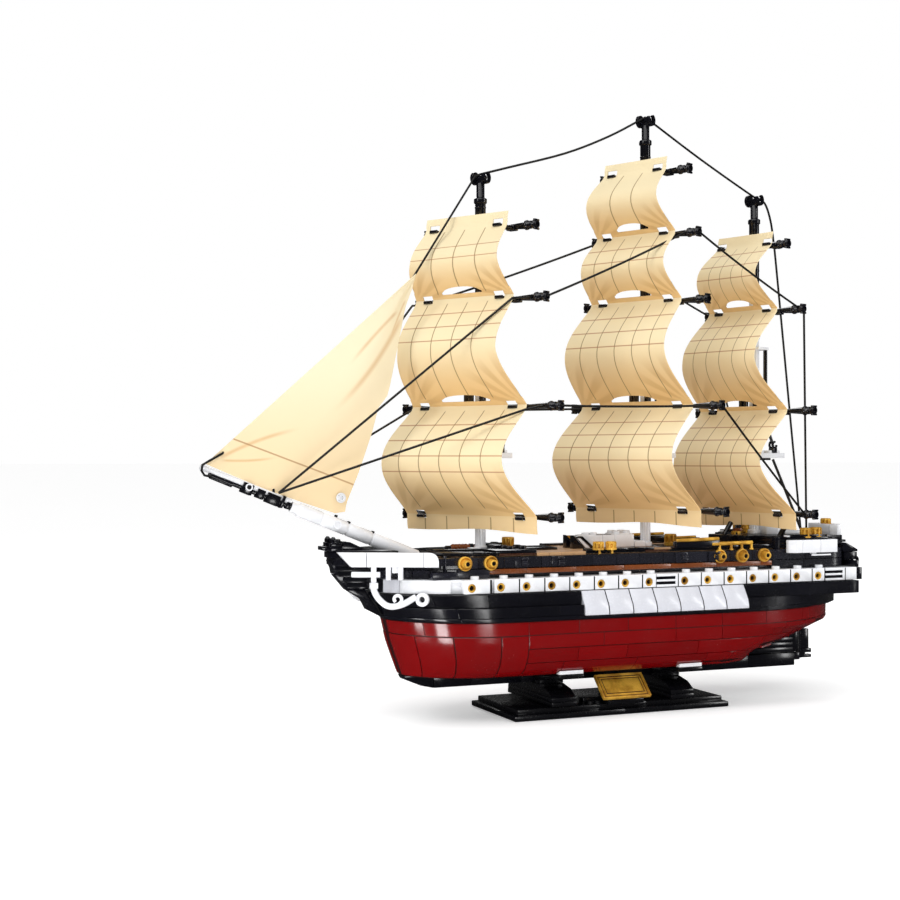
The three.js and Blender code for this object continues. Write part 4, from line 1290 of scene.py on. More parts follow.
def stem_bricks():
    made = [slab(outline, "Y", -3.7, 3.7, 0.25) for outline in (
        [(143.2, 60.9), (151.7, 65.3), (154.8, 71.2), (163.9, 76.7), (152.9, 76.7), (152.7, 75.5)],
        [(151, 76.9), (164.3, 76.9), (172, 86), (151, 86)],
        [(151, 86.3), (172.2, 86.3), (172.8, 89.5), (175, 94), (151, 94)])]
    # planks of the beak, one plate on another
    for z0, z1, grow in ((78, 81.1, 0), (81.3, 84.4, 0.5), (84.6, 87.7, 1), (87.9, 90.9, 1.5)):
        front = between([(76.7, 163.5), (86.2, 171.5), (89.5, 172.5)], z0)
        plank = [(150.6, 10.5 + grow), (158.5, 8 + grow), (front - 2.5, 5), (front, 3.5)]
        made.append(slab(closed(plank), "Z", z0, z1))
    for z0, z1, front in ((91.1, 95.4, 173.4), (95.6, 98.8, 175.8)):
        made.append(slab(closed([(150.5, 20.9), (158, 17), (172.6, 9.4), (front, 3.6)]), "Z", z0, z1))
    return made


def fore_clips():
    """The clips and the sloped cradle under the bowsprit."""
    cradle = [(152, 99), (168, 99), (167.4, 104.6), (163, 104.2)]
    made = [slab(cradle, "Y", -5.5, -1.9), slab(cradle, "Y", 1.9, 5.5)]
    made += blocks((168.4, 175.6, -7.8, 7.8, 99, 102), (175, 179.6, -3.6, 3.6, 99.9, 102))
    top = [(141, 24.4), (150.5, 19.8), (158, 16.2), (172.6, 9), (174.4, 0)]
    made.append(slab(closed(top), "Z", 98.9, 99.9))
    for y in (-5.2, 5.2):
        made += blocks((169, 175.2, y - 2.4, y + 2.4, 102, 104))
        made += hook_clips(172, (y - 1.4, y + 1.4), 105, 1.9, 110)
    return made + [bar((172, -8, 105), (172, 8, 105), 1.3, 14)]


finish(stem_bricks() + fore_clips(), "stem_bricks", BLACK, "stem")

# %% Wings
WING_Z = (90.9, 99.1)
WING_THICK = 3.1


def wing_line(x):
    """Half-breadth of the wing's outer face."""
    return 37.8 - 0.4875 * (x - 124)


def wing_brick(profile):
    piece = slab(profile, "Y", 0, -WING_THICK, 0.22)
    for vertex in piece.data.vertices:
        vertex.co.y += wing_line(vertex.co.x / MM) * MM
    return face_out(piece)


low, high = WING_Z
corner = [(126.6 - 4.4 * sin(a), high - 5 + 5 * cos(a)) for a in (0, 0.3, 0.6, 0.9, 1.2, 1.5)]
wings = []
for profile in ([(158.9, low), (166.2, low), (173.3, high), (158.9, high)],
                [(130, low), (158.4, low), (158.4, high), (130, high)],
                [(122.2, low), (129.7, low), (129.7, high)] + corner):
    wings.append(wing_brick(profile))
    wings.append(mirrored_copy(wings[-1]))
for start, (hand, _) in enumerate(HANDS):
    finish(wings[start::2], "bow_wing_bricks_" + hand, WHITE, "bow_wing_" + hand)

# %% Head rails
SCROLL = [(155, 22.3, 79.5), (154.6, 22.5, 77.2), (152.6, 23.4, 73.4), (148.9, 25, 69.8),
          (145, 26.6, 68.9), (139.6, 29, 70.4), (133.2, 31.6, 74.4)]
RING_AT = Vector((129.8, 32.9, 72.8))
RING_NORMAL = Vector((0.62, 0.78, 0))


def head_rail():
    """Post, rail, scroll, ring and the small curl inside, on the port side."""
    made = [bar((155, 22.3, 82.3), (155, 22.3, 91.2), 1.55),
            bar((166, 16.2, 86.7), (151.6, 23.6, 86.7), 1.6),
            block((153, 157), (20.4, 24.2), (78.8, 82.2), 0.3), line(smooth_path(SCROLL, 6), 1.8, 4),
            tube(RING_AT - RING_NORMAL * 1.2, RING_AT + RING_NORMAL, 3.9, 1.7, 2.6, 28, 0.3)]
    curl = []
    for k, angle in enumerate(arc(15, -75, 22)):
        reach = 2.6 - 0.06 * k
        along = reach * cos(angle)
        curl.append((142.9 - along * 0.9, 27.9 + along * 0.42, 73 + reach * sin(angle)))
    made.append(line(curl, 1, 3))
    for x in (147.2, 141):
        y = wing_line(x) - 1.6
        made.append(bar((x, y, 83.7), (x, y, 91.2), 1.5))
    y = wing_line(144)
    return made + blocks((142.4, 145.4, y - 3, y - 0.4, 87.6, 91, 0.3))


for hand, side in HANDS:
    parts = head_rail()
    if side < 0:
        parts = [face_out(moved(part, FLIP)) for part in parts]
    finish(parts, "head_rail_bars_" + hand, WHITE, "head_rail_" + hand)

# %% [markdown]
# ## Bowsprit and jib boom
# The bowsprit is a stack of white round bricks on one axis, so it is turned as one profile whose
# grooves are the joints between bricks. The jib boom is a white bar with a black one under it,
# held by clips, and the long stay loops round its tip.

# %% Bowsprit
SPRIT_AXIS = (Vector((130.2, 0, 98.3)), Vector((197.5, 0, 125.2)))
SPRIT = [(3.95, -10), (3.95, 19.6), (3.3, 19.9), (3.3, 20.7), (3.95, 21), (3.95, 35.3), (3.3, 35.6),
         (3.3, 36.4), (3.95, 36.7), (3.95, 52), (3.5, 52.3), (3.5, 52.7), (3.95, 53), (3.95, 66.5),
         (3.4, 67.4), (3, 68.6), (3, 71.5)]


def beside(ends, spot, up, side):
    """A point off a spar in its own directions: above it and to the side."""
    axis = (ends[1] - ends[0]).normalized()
    return spot + Vector((-axis.z, 0, axis.x)) * up + Vector((0, side, 0))


def on_sprit(along, up=0, side=0):
    foot, top = SPRIT_AXIS
    return beside(SPRIT_AXIS, foot + (top - foot).normalized() * along, up, side)


white = [turned(SPRIT, *SPRIT_AXIS, 28)]
white += [tube(on_sprit(43, 0, side * 2.2), on_sprit(43, 0, side * 5), 2.6, 1.7, 2.2, 24, 0.1)
          for side in SIDES]
finish(white, "bowsprit_bricks", WHITE, "bowsprit")
bands = [bar(on_sprit(at, low), on_sprit(at, high), radius, 12)
         for at, low, high, radius in ((20.3, 3, 4.5, 1.1), (36, 3, 4.5, 1.1), (44.5, 3.6, 5.2, 1))]
bands.append(bar(on_sprit(68.4), on_sprit(72.2), 2.2, 20))
finish(bands, "bowsprit_joints", BLACK)

# %% Jib boom
UPPER_BAR = (Vector((196.5, 0, 127.4)), Vector((246.6, 0, 146.6)))
LOWER_BAR = (Vector((194.8, 0, 123.6)), Vector((243.6, 0, 143.4)))
HUB = 0.555             # where the hubs stand along the boom


def on_boom(share, up=0, side=0, ends=LOWER_BAR):
    return beside(ends, ends[0].lerp(ends[1], share), up, side)


def boom_block(share0, share1, low, high, half):
    """A block that lies along the boom."""
    a, b = on_boom(share0), on_boom(share1)
    span = (b - a).length / 2
    return moved(block((-half, half), (low, high), (-span, span), 0.3), towards(a.lerp(b, 0.5), b))


white = [bar(*UPPER_BAR, 1.6),
         turned([(1.2, 0), (2.1, 0.8), (2.1, 2.6), (1.3, 3.4)], on_boom(0.97, ends=UPPER_BAR),
                UPPER_BAR[1] + Vector((1, 0, 0.38)), 16)]
finish(white, "jib_boom_bar", WHITE)
gear = [bar(*LOWER_BAR, 1.35), bar(on_boom(0.72, -0.6), on_boom(0.98, -0.6), 1.7)]
gear += [boom_block(*row) for row in ((0.50, 0.62, -2.6, 3.4, 2.6), (0.36, 0.45, -2.2, 3, 2.4),
                                      (0.18, 0.335, -2.6, 3.2, 2.6), (0.135, 0.165, -2.6, 4.6, 3),
                                      (0.06, 0.10, -1.8, 2.2, 2))]
gear += [bar(on_boom(HUB, 1.4, -3.4), on_boom(HUB, 1.4, 3.4), 1, 12),
         bar(on_boom(0.26, 3), on_boom(0.29, 6), 0.8, 12),
         turned([(0.6, 0), (1.7, 0.9), (2, 2), (1.7, 3.1), (0.6, 4)], on_boom(-0.02), LOWER_BAR[1], 16)]
finish(gear, "jib_boom_gear", BLACK, "jib_boom")
hubs = [tube(on_boom(HUB, 1.4, y * 2.7), on_boom(HUB, 1.4, y * 5), 2.1, 1.35, 0.8, 20, 0.05)
        for y in (-1, 1)]
finish(hubs, "jib_boom_hubs", WHITE)

# %% [markdown]
# ## The jib
# The jib is one foil triangle on the fore stay. It starts as a grid that runs from the luff to
# the leech, row by row, and its belly is a few millimetres deep so that the light rolls over it.

# %% Jib sheet
LUFF = [(245.6, 148.9), (121.6, 259)]
LEECH = [(170.4, 120.6), (164.4, 121.4), (163.8, 125.8), (159.6, 136), (156.6, 142.9), (151.7, 156.7),
         (148.1, 167), (144.4, 180.9), (138.9, 187.9), (137, 194.8), (127.6, 240), (122.9, 252)]
JIB_ROWS = 48
JIB_COLUMNS = 14


def along_line(points, share):
    lengths = [dist(a, b) for a, b in zip(points, points[1:])]
    left = share * sum(lengths)
    for a, b, length in zip(points, points[1:], lengths):
        if left <= length:
            return [p + (q - p) * left / length for p, q in zip(a, b)]
        left -= length
    return points[-1]


def jib_sheet():
    piece = new(bpy.ops.mesh.primitive_grid_add, x_subdivisions=JIB_COLUMNS,
                y_subdivisions=JIB_ROWS, size=2)
    for vertex in piece.data.vertices:
        across, up = (vertex.co.x + 1) / 2, (vertex.co.y + 1) / 2
        bulge = sin(pi * across)
        x, z = (a + (b - a) * across for a, b in zip(along_line(LUFF, up), along_line(LEECH, up)))
        z -= 1.2 * bulge * (1 - up) ** 6
        belly = 3 * bulge * sin(pi * min(1, up * 1.05)) ** 0.8
        wave = 0.35 * sin(9 * across + 5 * up) * bulge
        # the luff hangs on the stay's port side and hides it there
        luff = 1.5 * (1 - across) ** 3
        vertex.co = (x * MM, (belly + wave + luff) * MM, z * MM)
    return piece


# creases in the jib: start and end in X and Z, bow to one side and half width
WRINKLES = [((132, 238), (163.5, 204), 0.8, 1.6), ((129, 236), (174, 177), -3.5, 2.6),
            ((238.5, 151.6), (190, 169), -2, 1.8), ((237.5, 151), (203, 152.8), 1.2, 1.2),
            ((127, 245), (140, 214), 0.6, 1)]


def wrinkle(x, z, start, end, bow, width):
    """A soft band from start to end, bowed sideways in between."""
    length = dist(start, end)
    ux, uz = (end[0] - start[0]) / length, (end[1] - start[1]) / length
    along = ((x - start[0]) * ux + (z - start[1]) * uz) * (1 / length)
    off = (z - start[1]) * ux - (x - start[0]) * uz - along * (1 - along) * (4 * bow)
    return off.size().ramp(0, width, 1, 0) * along.ramp(0, 0.12) * along.ramp(0.6, 1, 1, 0)


def jib_print():
    """Cream foil, tan towards the foot, with one printed seam and long soft creases from the tack
    and the head, bumped and darkened as painted shade.
    """
    shader = Shader(bpy.data.materials.new("printed jib foil"), Sheen_Weight=0.05)
    x, _, z = parts_of(shader, shader.place())
    x, z = x * 1000, z * 1000
    seam = (z - 163.2 - (x - 231.4) * 0.367).size().ramp(0.25, 0.7, 1, 0)
    low = z.ramp(128, 215, 1, 0)
    jib_shaded_crease, *others = [wrinkle(x, z, *row) for row in WRINKLES]
    for other in others:
        jib_shaded_crease = jib_shaded_crease.most(other)
    base = shader.blend(low * 0.8, (0.89, 0.78, 0.54, 1), (0.84, 0.62, 0.34, 1))
    # painted shade along the creases
    base = shader.blend(jib_shaded_crease * 0.5, base, (0.62, 0.33, 0.10, 1))
    shader.set("Base Color", shader.blend(seam * 0.8, base, (0.45, 0.24, 0.09, 1)))
    shader.set("Roughness", 0.52 + jib_shaded_crease * 0.05)
    shader.bump(jib_shaded_crease * -1 + shader.noise(1500, 2) * 0.2, 0.3, 0.00015)
    return shader.fills("sail_sheet")


JIB = jib_print()
jib = jib_sheet()
area = sum(face.area for face in jib.data.polygons)
apply_modifier(jib, "SOLIDIFY", thickness=FOIL * MM, offset=0)
jib = finish([jib], "jib_foil", JIB, "jib", angle=60)
foot, luff = dist(LUFF[0], LEECH[0]), dist(*LUFF)
tell_sheet("jib", foot, luff, area)

# %% Buttons on the jib
BUTTON_X, BUTTON_Z = 167.4, 129.4


def through_jib(y, dx=0, dz=0):
    return (BUTTON_X + dx, y, BUTTON_Z + dz)


buttons, slots = [], []
for y in (-1, 1):
    buttons.append(turned([(2.9, 0), (2.9, 0.7)], through_jib(y * 1.3), through_jib(y * 5), 24, 0.1))
    buttons.append(tube(through_jib(y * 2), through_jib(y * 5), 1.9, 1.1, 0.9, 24, 0.05))
finish(buttons, "jib_buttons", WHITE)
for y in (-1, 1):
    for turn in arc(4, 45, 90):
        spot = (1.5 * cos(turn), 1.5 * sin(turn))
        slots.append(bar(through_jib(y * 1.5, *spot), through_jib(y * 2.35, *spot), 0.55, 12))
finish(slots, "jib_button_slots", BLACK)

# %% [markdown]
# ## Bulwark, guns and strake
# A black wall stands back from the white belt with a brown strip along its foot. Ten gold guns
# poke through it. Each gun is turned: a broad ring, a cone in steps and an open muzzle, with a
# black disc in it as painted shade.

# %% Bulwark
WALL = (33.7, 89, 95.5)       # half-breadth, foot and top
WALL_SHOULDER = 96
BELT_DECK = 83.9
DECK_TOP = 97.2


def wall_skin(u, z):
    if u <= WALL_SHOULDER:
        return u, WALL[0] - 2 * max(0, (-151 - u) / 6)
    return bow_curve(u, WALL_SHOULDER, WALL[0], 150, 6, 1.25, 60)


def waterline(half, shoulder, tip, tip_half, stern):
    """A closed deck outline."""
    bow = [bow_curve(shoulder + 7.5 * k, shoulder, half, tip, tip_half, 1.25, 60) for k in range(9)]
    return closed([(stern, half)] + bow)


black = [slab(waterline(30, WALL_SHOULDER, 149.5, 6, -156.5), "Z", BELT_DECK, 95.4)]
UPPER_ROW = [150, 128, 112, 96, 80, 56, 48, 23.1, 7.1, -8.9, -25, -41, -56, -72, -88, -103, -127, -156]
LOWER_ROW = (BELT_DECK, WALL[1] - 0.1)
for cuts, limits in ((UPPER_ROW, WALL[1:]), ([150, 124.7, 109.5, 89.3], LOWER_ROW),
                     ([-102.3, -126, -156], LOWER_ROW)):
    black += course(wall_skin, cuts, *limits, wall=2.6, proud=0)
black.append(slab(closed([(96.5, 33.2), (124, 34.2), (139, 27.2), (150.1, 21.6)]), "Z", 91.1, 95.4))
for side in SIDES:
    for x in (69.4, 46, -37, -60.2):
        y = side * WALL[0]
        black += blocks((x - 4, x + 4, y, y + side * 1.2, 89.2, 95.2),
                        (x - 3.6, x + 0.4, y, y + side * 2.9, 90.3, 91.5),
                        (x - 3.6, x + 0.4, y, y + side * 2.9, 93.6, 94.8), bevel=0.3)
        black.append(bar((x - 3.2, y + side * 2, 92.2), (x + 0.2, y + side * 2, 92.2), 1.2, 14))
    # a ledge low on the bow wall and the edge plate above it
    black += blocks((109.5, 124.7, side * 31, side * 35.4, BELT_DECK, 87.6, 0.35),
                    (116.4, 117, side * 32.5, side * 35.2, 87.7, 97),
                    (89.4, 109.2, side * 30, side * 34.6, BELT_DECK, 88.8, 0.3))
finish(black, "bulwark_bricks", LIT_WALL_BLACK, "bulwark")

# %% Guns
GUNS_X = (104.6, 88.6, -64, -80, -96)
GUN_Z = 92.2
GUN = [(3.2, 0), (4.15, 0.3), (4.15, 1.9), (3.9, 2.2), (3.45, 2.2), (3.15, 1), (2.75, 1), (2.55, 1.8),
       (2, 4.5), (2.2, 4.8), (2.2, 5.5), (1.9, 5.7), (1.35, 5.7), (1.2, 4)]
# the second row makes a black disc in each muzzle: painted shade
for profile, y, sides, bevel, name, material in (
        (GUN, 33.4, 28, 0.1, "deck_guns", GOLD),
        ([(1.3, 0), (1.3, 0.6)], 37.7, 20, 0, "deck_gun_muzzle_shade", BLACK)):
    guns = spread([turned(profile, (0, y, GUN_Z), (0, 60, GUN_Z), sides, bevel)], GUNS_X)
    finish(guns, name, material)
print("guns:", len(guns))

# %% Strake
for hand, side in HANDS:
    brown = row_of_blocks([89, 66, 34, 2, -30, -62, -94, -102], side * 30.4, side * 34.2, 85.8, 88.6)
    finish(brown, "strake_tiles_" + hand, BROWN, "strake_" + hand)

# %% [markdown]
# ## The deck
# Tan tiles, one stud wide, lie across the ship with black plates along the edge. A loop lays the
# rows and splits each one at a different place, as a careful builder would.

# %% Deck tiles
DECK_HALF = 31.4
ROW, EDGE = 8, 4              # a row's length and an edge plate's breadth
tiles, shaded_edge_tiles, edges = [], [], []
for k in range(33):
    x = 106 - ROW * k
    reach = min(DECK_HALF, 33.2 - 0.5 * max(0, x - 92))
    split = (-8, 8, 0, -16, 16)[k % 5]
    along = (x + 0.06, x + ROW - 0.06)
    for side in (-1, 1):
        outer = side * reach
        if not 26 <= x < 58:
            inner = outer - side * EDGE
            # darker edge tiles where the deck's edge lies in shade: painted shade
            row = shaded_edge_tiles if 56 < x < 80 or -34 < x < -20 else edges
            row.append(block(along, (outer, inner), (95.9, DECK_TOP - 0.1), 0.15, 1))
            outer = inner
        y0, y1 = sorted((outer, split))
        tiles.append(block(along, (y0 + 0.06, y1 - 0.06), (94.2, DECK_TOP), 0.15, 1))
tiles.append(slab(waterline(30.5, 92, 113, 22, -150), "Z", 95.6, 96.4, 0))
finish(tiles, "deck_tiles", TAN, "deck")
finish(shaded_edge_tiles, "deck_shaded_edge_tiles", SHADE_BROWN)

# %% Plates on the deck
for side in SIDES:
    for x0, x1 in ((-2, 25.8), (-20, -2), (-58, -34), (-82, -58), (-104, -82)):
        edges += row_of_blocks([x1, x0], side * 26.5, side * 31.8, DECK_TOP, 98.6)
    edges.append(side_slab([(-34, 97.3), (-48, 97.3), (-66, 99.4), (-66, 101.9), (-34, 101.5)], "Y", side,
                           29.4, 31.8, 0.3))
    edges += blocks((-90, -66, side * 29.4, side * 31.8, 98.7, 100, 0.3))
edges.append(slab([(114.4, 24.3), (103, 29.3), (84.2, 31.8), (84.2, -31.8), (103, -29.3), (114.4, -24.3)],
                  "Z", 95.8, 98))
edges += blocks((58, 84, -31.3, 31.3, DECK_TOP, 99.1), (68, 75.5, -12, 12, 99.2, 100.9),
                (58, 67.8, -6, 6, 99.2, 99.5, 0.1), (84.2, 113.6, -12, 12, DECK_TOP, 99),
                (34, 57.8, -10, 10, DECK_TOP, 98.8, 0.2), (-104, -92, -12, 12, DECK_TOP, 103.2, 0.3),
                (-95.4, -82.7, -8, 8, DECK_TOP, 103.5, 0.3), (-66, -34, -12, 12, DECK_TOP, 97.5, 0.1))
edges.append(bar((-86.8, 4, 103.4), (-92, 4, 111.3), 1.6))
for side in SIDES:
    edges += blocks((-64.6, -34.6, side * 31.4, side * 33.3, 97.9, 101.3))
    edges.append(side_slab([(21.8, DECK_TOP), (13.8, DECK_TOP), (21.8, 105.2)], "Y", side, 2.4, 7, 0.25))
edges.append(slab([(6.7, DECK_TOP), (9.4, DECK_TOP), (17.6, 104.2), (15.4, 104.6)], "Y", -7, 7, 0.25))
edges += [upright(STUD, x, y, 99, 20, 0) for x in (70, 62) for y in (-20, -12, 12, 20)]
finish(edges, "deck_plates", BLACK)
steps = [slab([(13.2, 97.6), (10, 97.6), (16.6, 103.4), (18.6, 103.4)], "Y", 4.6, 6.6, 0.15)]
steps += blocks((-27.2, -20.2, -8, 8, 97.6, 101.2, 0.3), (83, 89, -8, 8, 97.4, 99.4, 0.2))
finish(steps, "deck_white_bricks", WHITE)

# %% [markdown]
# ## Deck fittings
# The capstans are gold drums with notched heads. Gold rails run over the waist, a windlass lies
# before the fore mast, and a white long boat rests between the masts.

# %% Capstans, rails and windlass


def drum(x, y, z, radius, height, plinth=0.9):
    """A capstan: a turned core under eight whelps."""
    waist, head = radius - 1.6, radius - 0.5
    made = [upright([(radius, 0), (radius, plinth), (waist, plinth + 0.5), (waist, height - 1.4),
                     (head, height - 1.2), (head, height)], x, y, z, 24, 0.1)]
    for k in range(8):
        whelp = block((waist - 0.2, radius - 0.2), (-0.55, 0.55), (z + plinth, z + height - 0.4), 0.15)
        made.append(moved(whelp, shift(x, y) @ spin(45 * k)))
    return made


finish(drum(62, 0, 99.1, 4, 5.8, 0.6), "capstan_drum_fore", GOLD, "capstan_fore")
finish(drum(-50, 0, 97.5, 4, 7, 1.8), "capstan_drum_main", GOLD, "capstan_main")
rails = []
for side in SIDES:
    y = side * 32.6
    rails += [bar((-34.8, y, 102.4), (-64.4, y, 102.9), 1), bar((-59.4, y, 99.6), (-88.6, y, 100.1), 1.1)]
    rails += [upright([(1.3, 0), (1.3, 0.8), (0.8, 1.1), (0.8, 4)], x, y, 95.7, 14, 0.05)
              for x in (-65, -73.4, -81, -88)]
    y = side * 33.4
    for x in ((18.8, 10.4) if side > 0 else (3.2, -5.2)):
        rails += drum(x, side * 33.2, 98, 3.5, 4.9) + [bar((x - 0.6, y, 95.6), (x - 0.6, y, 98.2), 0.7)]
    rails += drum(-124.5, side * 37.4, 102.4, 3.7, 6.2) + drum(-132.6, side * 37, 102.4, 3.9, 6.4)
rails += drum(-167.6, 0, 108, 3.6, 4.4) + drum(-98.2, 0, 100.8, 3.3, 4.6)
finish(rails, "gold_fittings", GOLD)


def on_axle(x):
    return (x, 0, 99.6)


windlass = [bar(on_axle(84.5), on_axle(99), 1.55, 18)]
windlass += blocks((-101.4, -97.6, -2.4, 2.4, 105.2, 107.2, 0.3))
windlass += [tube(on_axle(x), on_axle(x + 1), 1.9, 1.4, 1.3, 20, 0.1)
             for x in (88.8, 90.8, 92.8, 94.8, 96.8)]
finish(windlass, "windlass", BROWN)
axle = [bar(on_axle(98.8), on_axle(102.6), 1, 14),
        tube(on_axle(85), on_axle(86), 1.95, 1.4, 2.4, 20, 0.1)]
finish(axle + blocks((-98.6, -96.4, -2.6, 2.6, 103.3, 105, 0.2)), "windlass_axle", BLACK)

# %% Helm
HELM_Z = 107
helm = [tube((-104.3, 0, HELM_Z), (-110, 0, HELM_Z), 3.2, 2.2, 0.9, 24, 0.1),
        bar((-104.2, 0, HELM_Z), (-105.2, 0, HELM_Z), 1)]
helm += [bar((-104.7, 0, HELM_Z), (-104.7, 3.9 * cos(angle), HELM_Z + 3.9 * sin(angle)), 0.42, 10)
         for angle in arc(8, 0, 45)]
finish(helm + blocks((-105.2, -104.3, -1.5, 1.5, 103.6, 106.2, 0.2)), "helm_wheel", GOLD, "helm")

# %% [markdown]
# ## Boats
# The boats are white bricks too. One function lays the bricks of a hull side by side, makes the
# one at the bow from an outline that narrows, and puts benches inside.

# %% Boats


def boat_hull(cuts, half, low, high, bow, rail=1.4):
    """Bricks from stern to bow, listed by their joints. The one at the bow narrows to a blunt end."""
    made = []
    for aft, fore in zip(cuts[:-2], cuts[1:-1]):
        for side in (-1, 1):
            made += row_of_blocks([fore, aft], side * (half - rail), side * half, low, high, bevel=0.3)
    aft, fore = cuts[-2] + JOINT, cuts[-1]
    made.append(slab(closed([(aft, half), (fore - bow, half), (fore, half / 3)]), "Z", low, high, 0.3))
    floor, wall = half - rail - 0.1, half - rail - 0.05
    return made + blocks((cuts[0] + 0.1, cuts[-2], -floor, floor, low, low + 2.4),
                         (cuts[0], cuts[0] + rail, -wall, wall, low + 2.4, high),
                         *[(x - 1.6, x + 1.6, -floor, floor, high - 2.6, high - 1.4) for x in cuts[1:-1]],
                         bevel=0.2)


hull = boat_hull([-19.9, -6.5, 2, 15.9], 7.4, DECK_TOP + 0.4, 105.2, 9)
hull += blocks((-19.8, -6.6, -5.9, 5.9, 100.2, 105.9, 0.6))
hull += [upright([(2.45, 0), (2.45, 1.4), (2.2, 1.7)], x, y, 105.8, 20, 0)
         for x in (-16.5, -9.5) for y in (-3, 3)]
hull += [upright([(2.45, 0), (2.45, 1), (2.2, 1.3)], x, 0, 105.1, 20, 0) for x in (4.6, 10)]
finish(hull, "long_boat_bricks", WHITE, "long_boat")
finish(blocks((-4.1, 6.2, 6.4, 7, 105.1, 105.5, 0.1)), "long_boat_bar", BLACK)
for hand, side in HANDS:
    parts = boat_hull([-145.4, -132.8, -119.4, -110.6], 3.9, 93.3, 101.3, 4, 1.2)
    all_moved(parts, shift(0, side * 38.1))
    parts += blocks((-133.9, -130.1, side * 34, side * 36, 92.1, 94, 0.2))
    finish(parts, "quarter_boat_bricks_" + hand, WHITE, "quarter_boat_" + hand)
    plan = [(-110.4, 35.6), (-110.4, 39.8), (-138, 41.4), (-143, 40), (-144, 37), (-143, 34.9)]
    cover = [slab([(x, side * y) for x, y in plan[::side]], "Z", 101.6, 103, 0.3)]
    cover += blocks((-138.6, -112.4, side * 35.4, side * 40.6, 103.1, 104.5, 0.4))
    cover.append(bar((-109.1, side * 25, 95.8), (-117.7, side * 25, 108.4), 1.7))
    finish(cover, "boat_cover_" + hand, BLACK)
    # a thin white strip low on the side is a painted highlight, where a black edge under the boat catches
    # the light; the small block at the boat's bow is white plastic
    highlight_strip_and_block = blocks((-140.4, -126, side * 41.3, side * 42, 91.4, 92.3),
                  (-113.4, -110.6, side * 34.2, side * 38.4, 103.1, 104), bevel=0.15)
    finish(highlight_strip_and_block, "boat_highlight_strip_and_block_" + hand, WHITE)
stern_boat = boat_hull([-13.8, 0, 8, 13.8], 4.1, 101.6, 109, 4, 1.2)
finish(all_moved(stern_boat, shift(-167.8) @ spin(90)), "stern_boat_bricks", WHITE, "stern_boat")

# %% [markdown]
# ## The stern
# The stern is a stack of black bricks of different lengths with slopes on the corners. Below the
# counter, thin plates fill the deadwood down to the keel, and the rudder hangs behind the
# sternpost on its own body, so it turns with its joint.

# %% Transom
black = blocks((-164.3, -160.4, -41.6, 41.6, 75.7, 83.2), (-163.4, -160.4, -39.6, 39.6, 83.4, 87.4),
               (-166.7, -157.2, -33.7, 33.7, 87.6, 92.3), (-157.2, -150, -30, 30, 83.9, 95.4),
               (-157.3, -104.2, -30.8, 30.8, DECK_TOP + 0.2, 100.2, 0.25),
               (-157.3, -104.2, -30.8, 30.8, 100.3, 103.2, 0.25),
               (-171.5, -157.5, -15.9, 15.9, 97.7, 99.2, 0.2), bevel=0.3)
for side in SIDES:
    black.append(side_slab([(-156, 92.6), (-167.2, 92.6), (-167.2, 94), (-158.6, 98.4), (-156, 98.4)],
                           "Y", side, 22, 33.6, 0.3))
    black.append(tube((-163.6, side * 33.9, 87.6), (-163.6, side * 60, 87.6), 2.6, 1.6, 2.4, 22))
    black += blocks((-108, -104.4, side * 30.9, side * 34.2, 95.6, 103, 0.3))
    black.append(bar((-168, side * 9, 99.1), (-168, side * 9, 101.4), 1.6))
finish(black, "transom_bricks", BLACK, "transom")
white = blocks((-128, -116, -8, 8, 103.3, 109.8), (-145, -129, -10, 10, 103.3, 105.2), bevel=0.3)
finish(white, "quarterdeck_bricks", WHITE)

# %% Keel and deadwood
KEEL = (-5.4, 5.4)
keel = [slab([(112, 18.3), (120, 20.1), (129, 23.8), (130.4, 26.2), (112.1, 26.2)], "Y", *KEEL, 0.3)]
keel += row_of_blocks([112, 88, 56, 24, -8, -40, -72, -104, -139.3], *KEEL, 18.3, 26.2, bevel=0.3)
keel += blocks((-143.3, -139, *KEEL, 21.7, 26.2, 0.3))
finish(keel, "keel_bricks", BLACK, "keel")
wood = []
for low in (26.7, 29.9, 33.1, 36.3, 39.5):
    high = min(low + 3, 42.3)
    fore = between([(26.6, -88), (29.3, -89), (33.2, -94), (38.6, -121.6), (43.5, -143.4)], high)
    wood += blocks((-139, min(fore, -89.4) - 0.3, -3.8, 3.8, low, high, 0.2))
wood += blocks((-143.2, -139.2, -3.4, 3.4, 26.7, 43))
finish(wood, "deadwood_plates", BLACK, "deadwood")

# %% Rudder
AXIS_X = -146
HALF = 1.8
fore = AXIS_X - 0.4
blade = [slab([(fore, 28.2), (fore, 40.8), (-152.8, 40.8), (-152.9, 28.2)], "Y", -HALF, HALF, 0.3),
         slab([(fore, 22.2), (fore, 28), (-154.9, 28), (-154.9, 25.4), (-150.2, 25.4), (-150.2, 24.1),
               (-154.9, 24.1), (-154.9, 22.2)], "Y", -HALF, HALF, 0.25),
         bar((AXIS_X, 0, 22.1), (AXIS_X, 0, 40.9), 1.95, 24)]
blade += [tube((AXIS_X, 0, z), (AXIS_X, 0, z + 1), 1.98, 1.5, 2.2, 24, 0.1) for z in (25, 31.5, 38)]
finish(blade, "rudder_blade", BLACK, "rudder", body="rudder")

# %% [markdown]
# ## Display stand
# Two stepped plates carry two pedestals, white pads cradle the hull, and a small gold plate leans
# in front. The plate is blank. Its frame is one face inset and moved three times, and dark lines
# in its two grooves are painted shade.

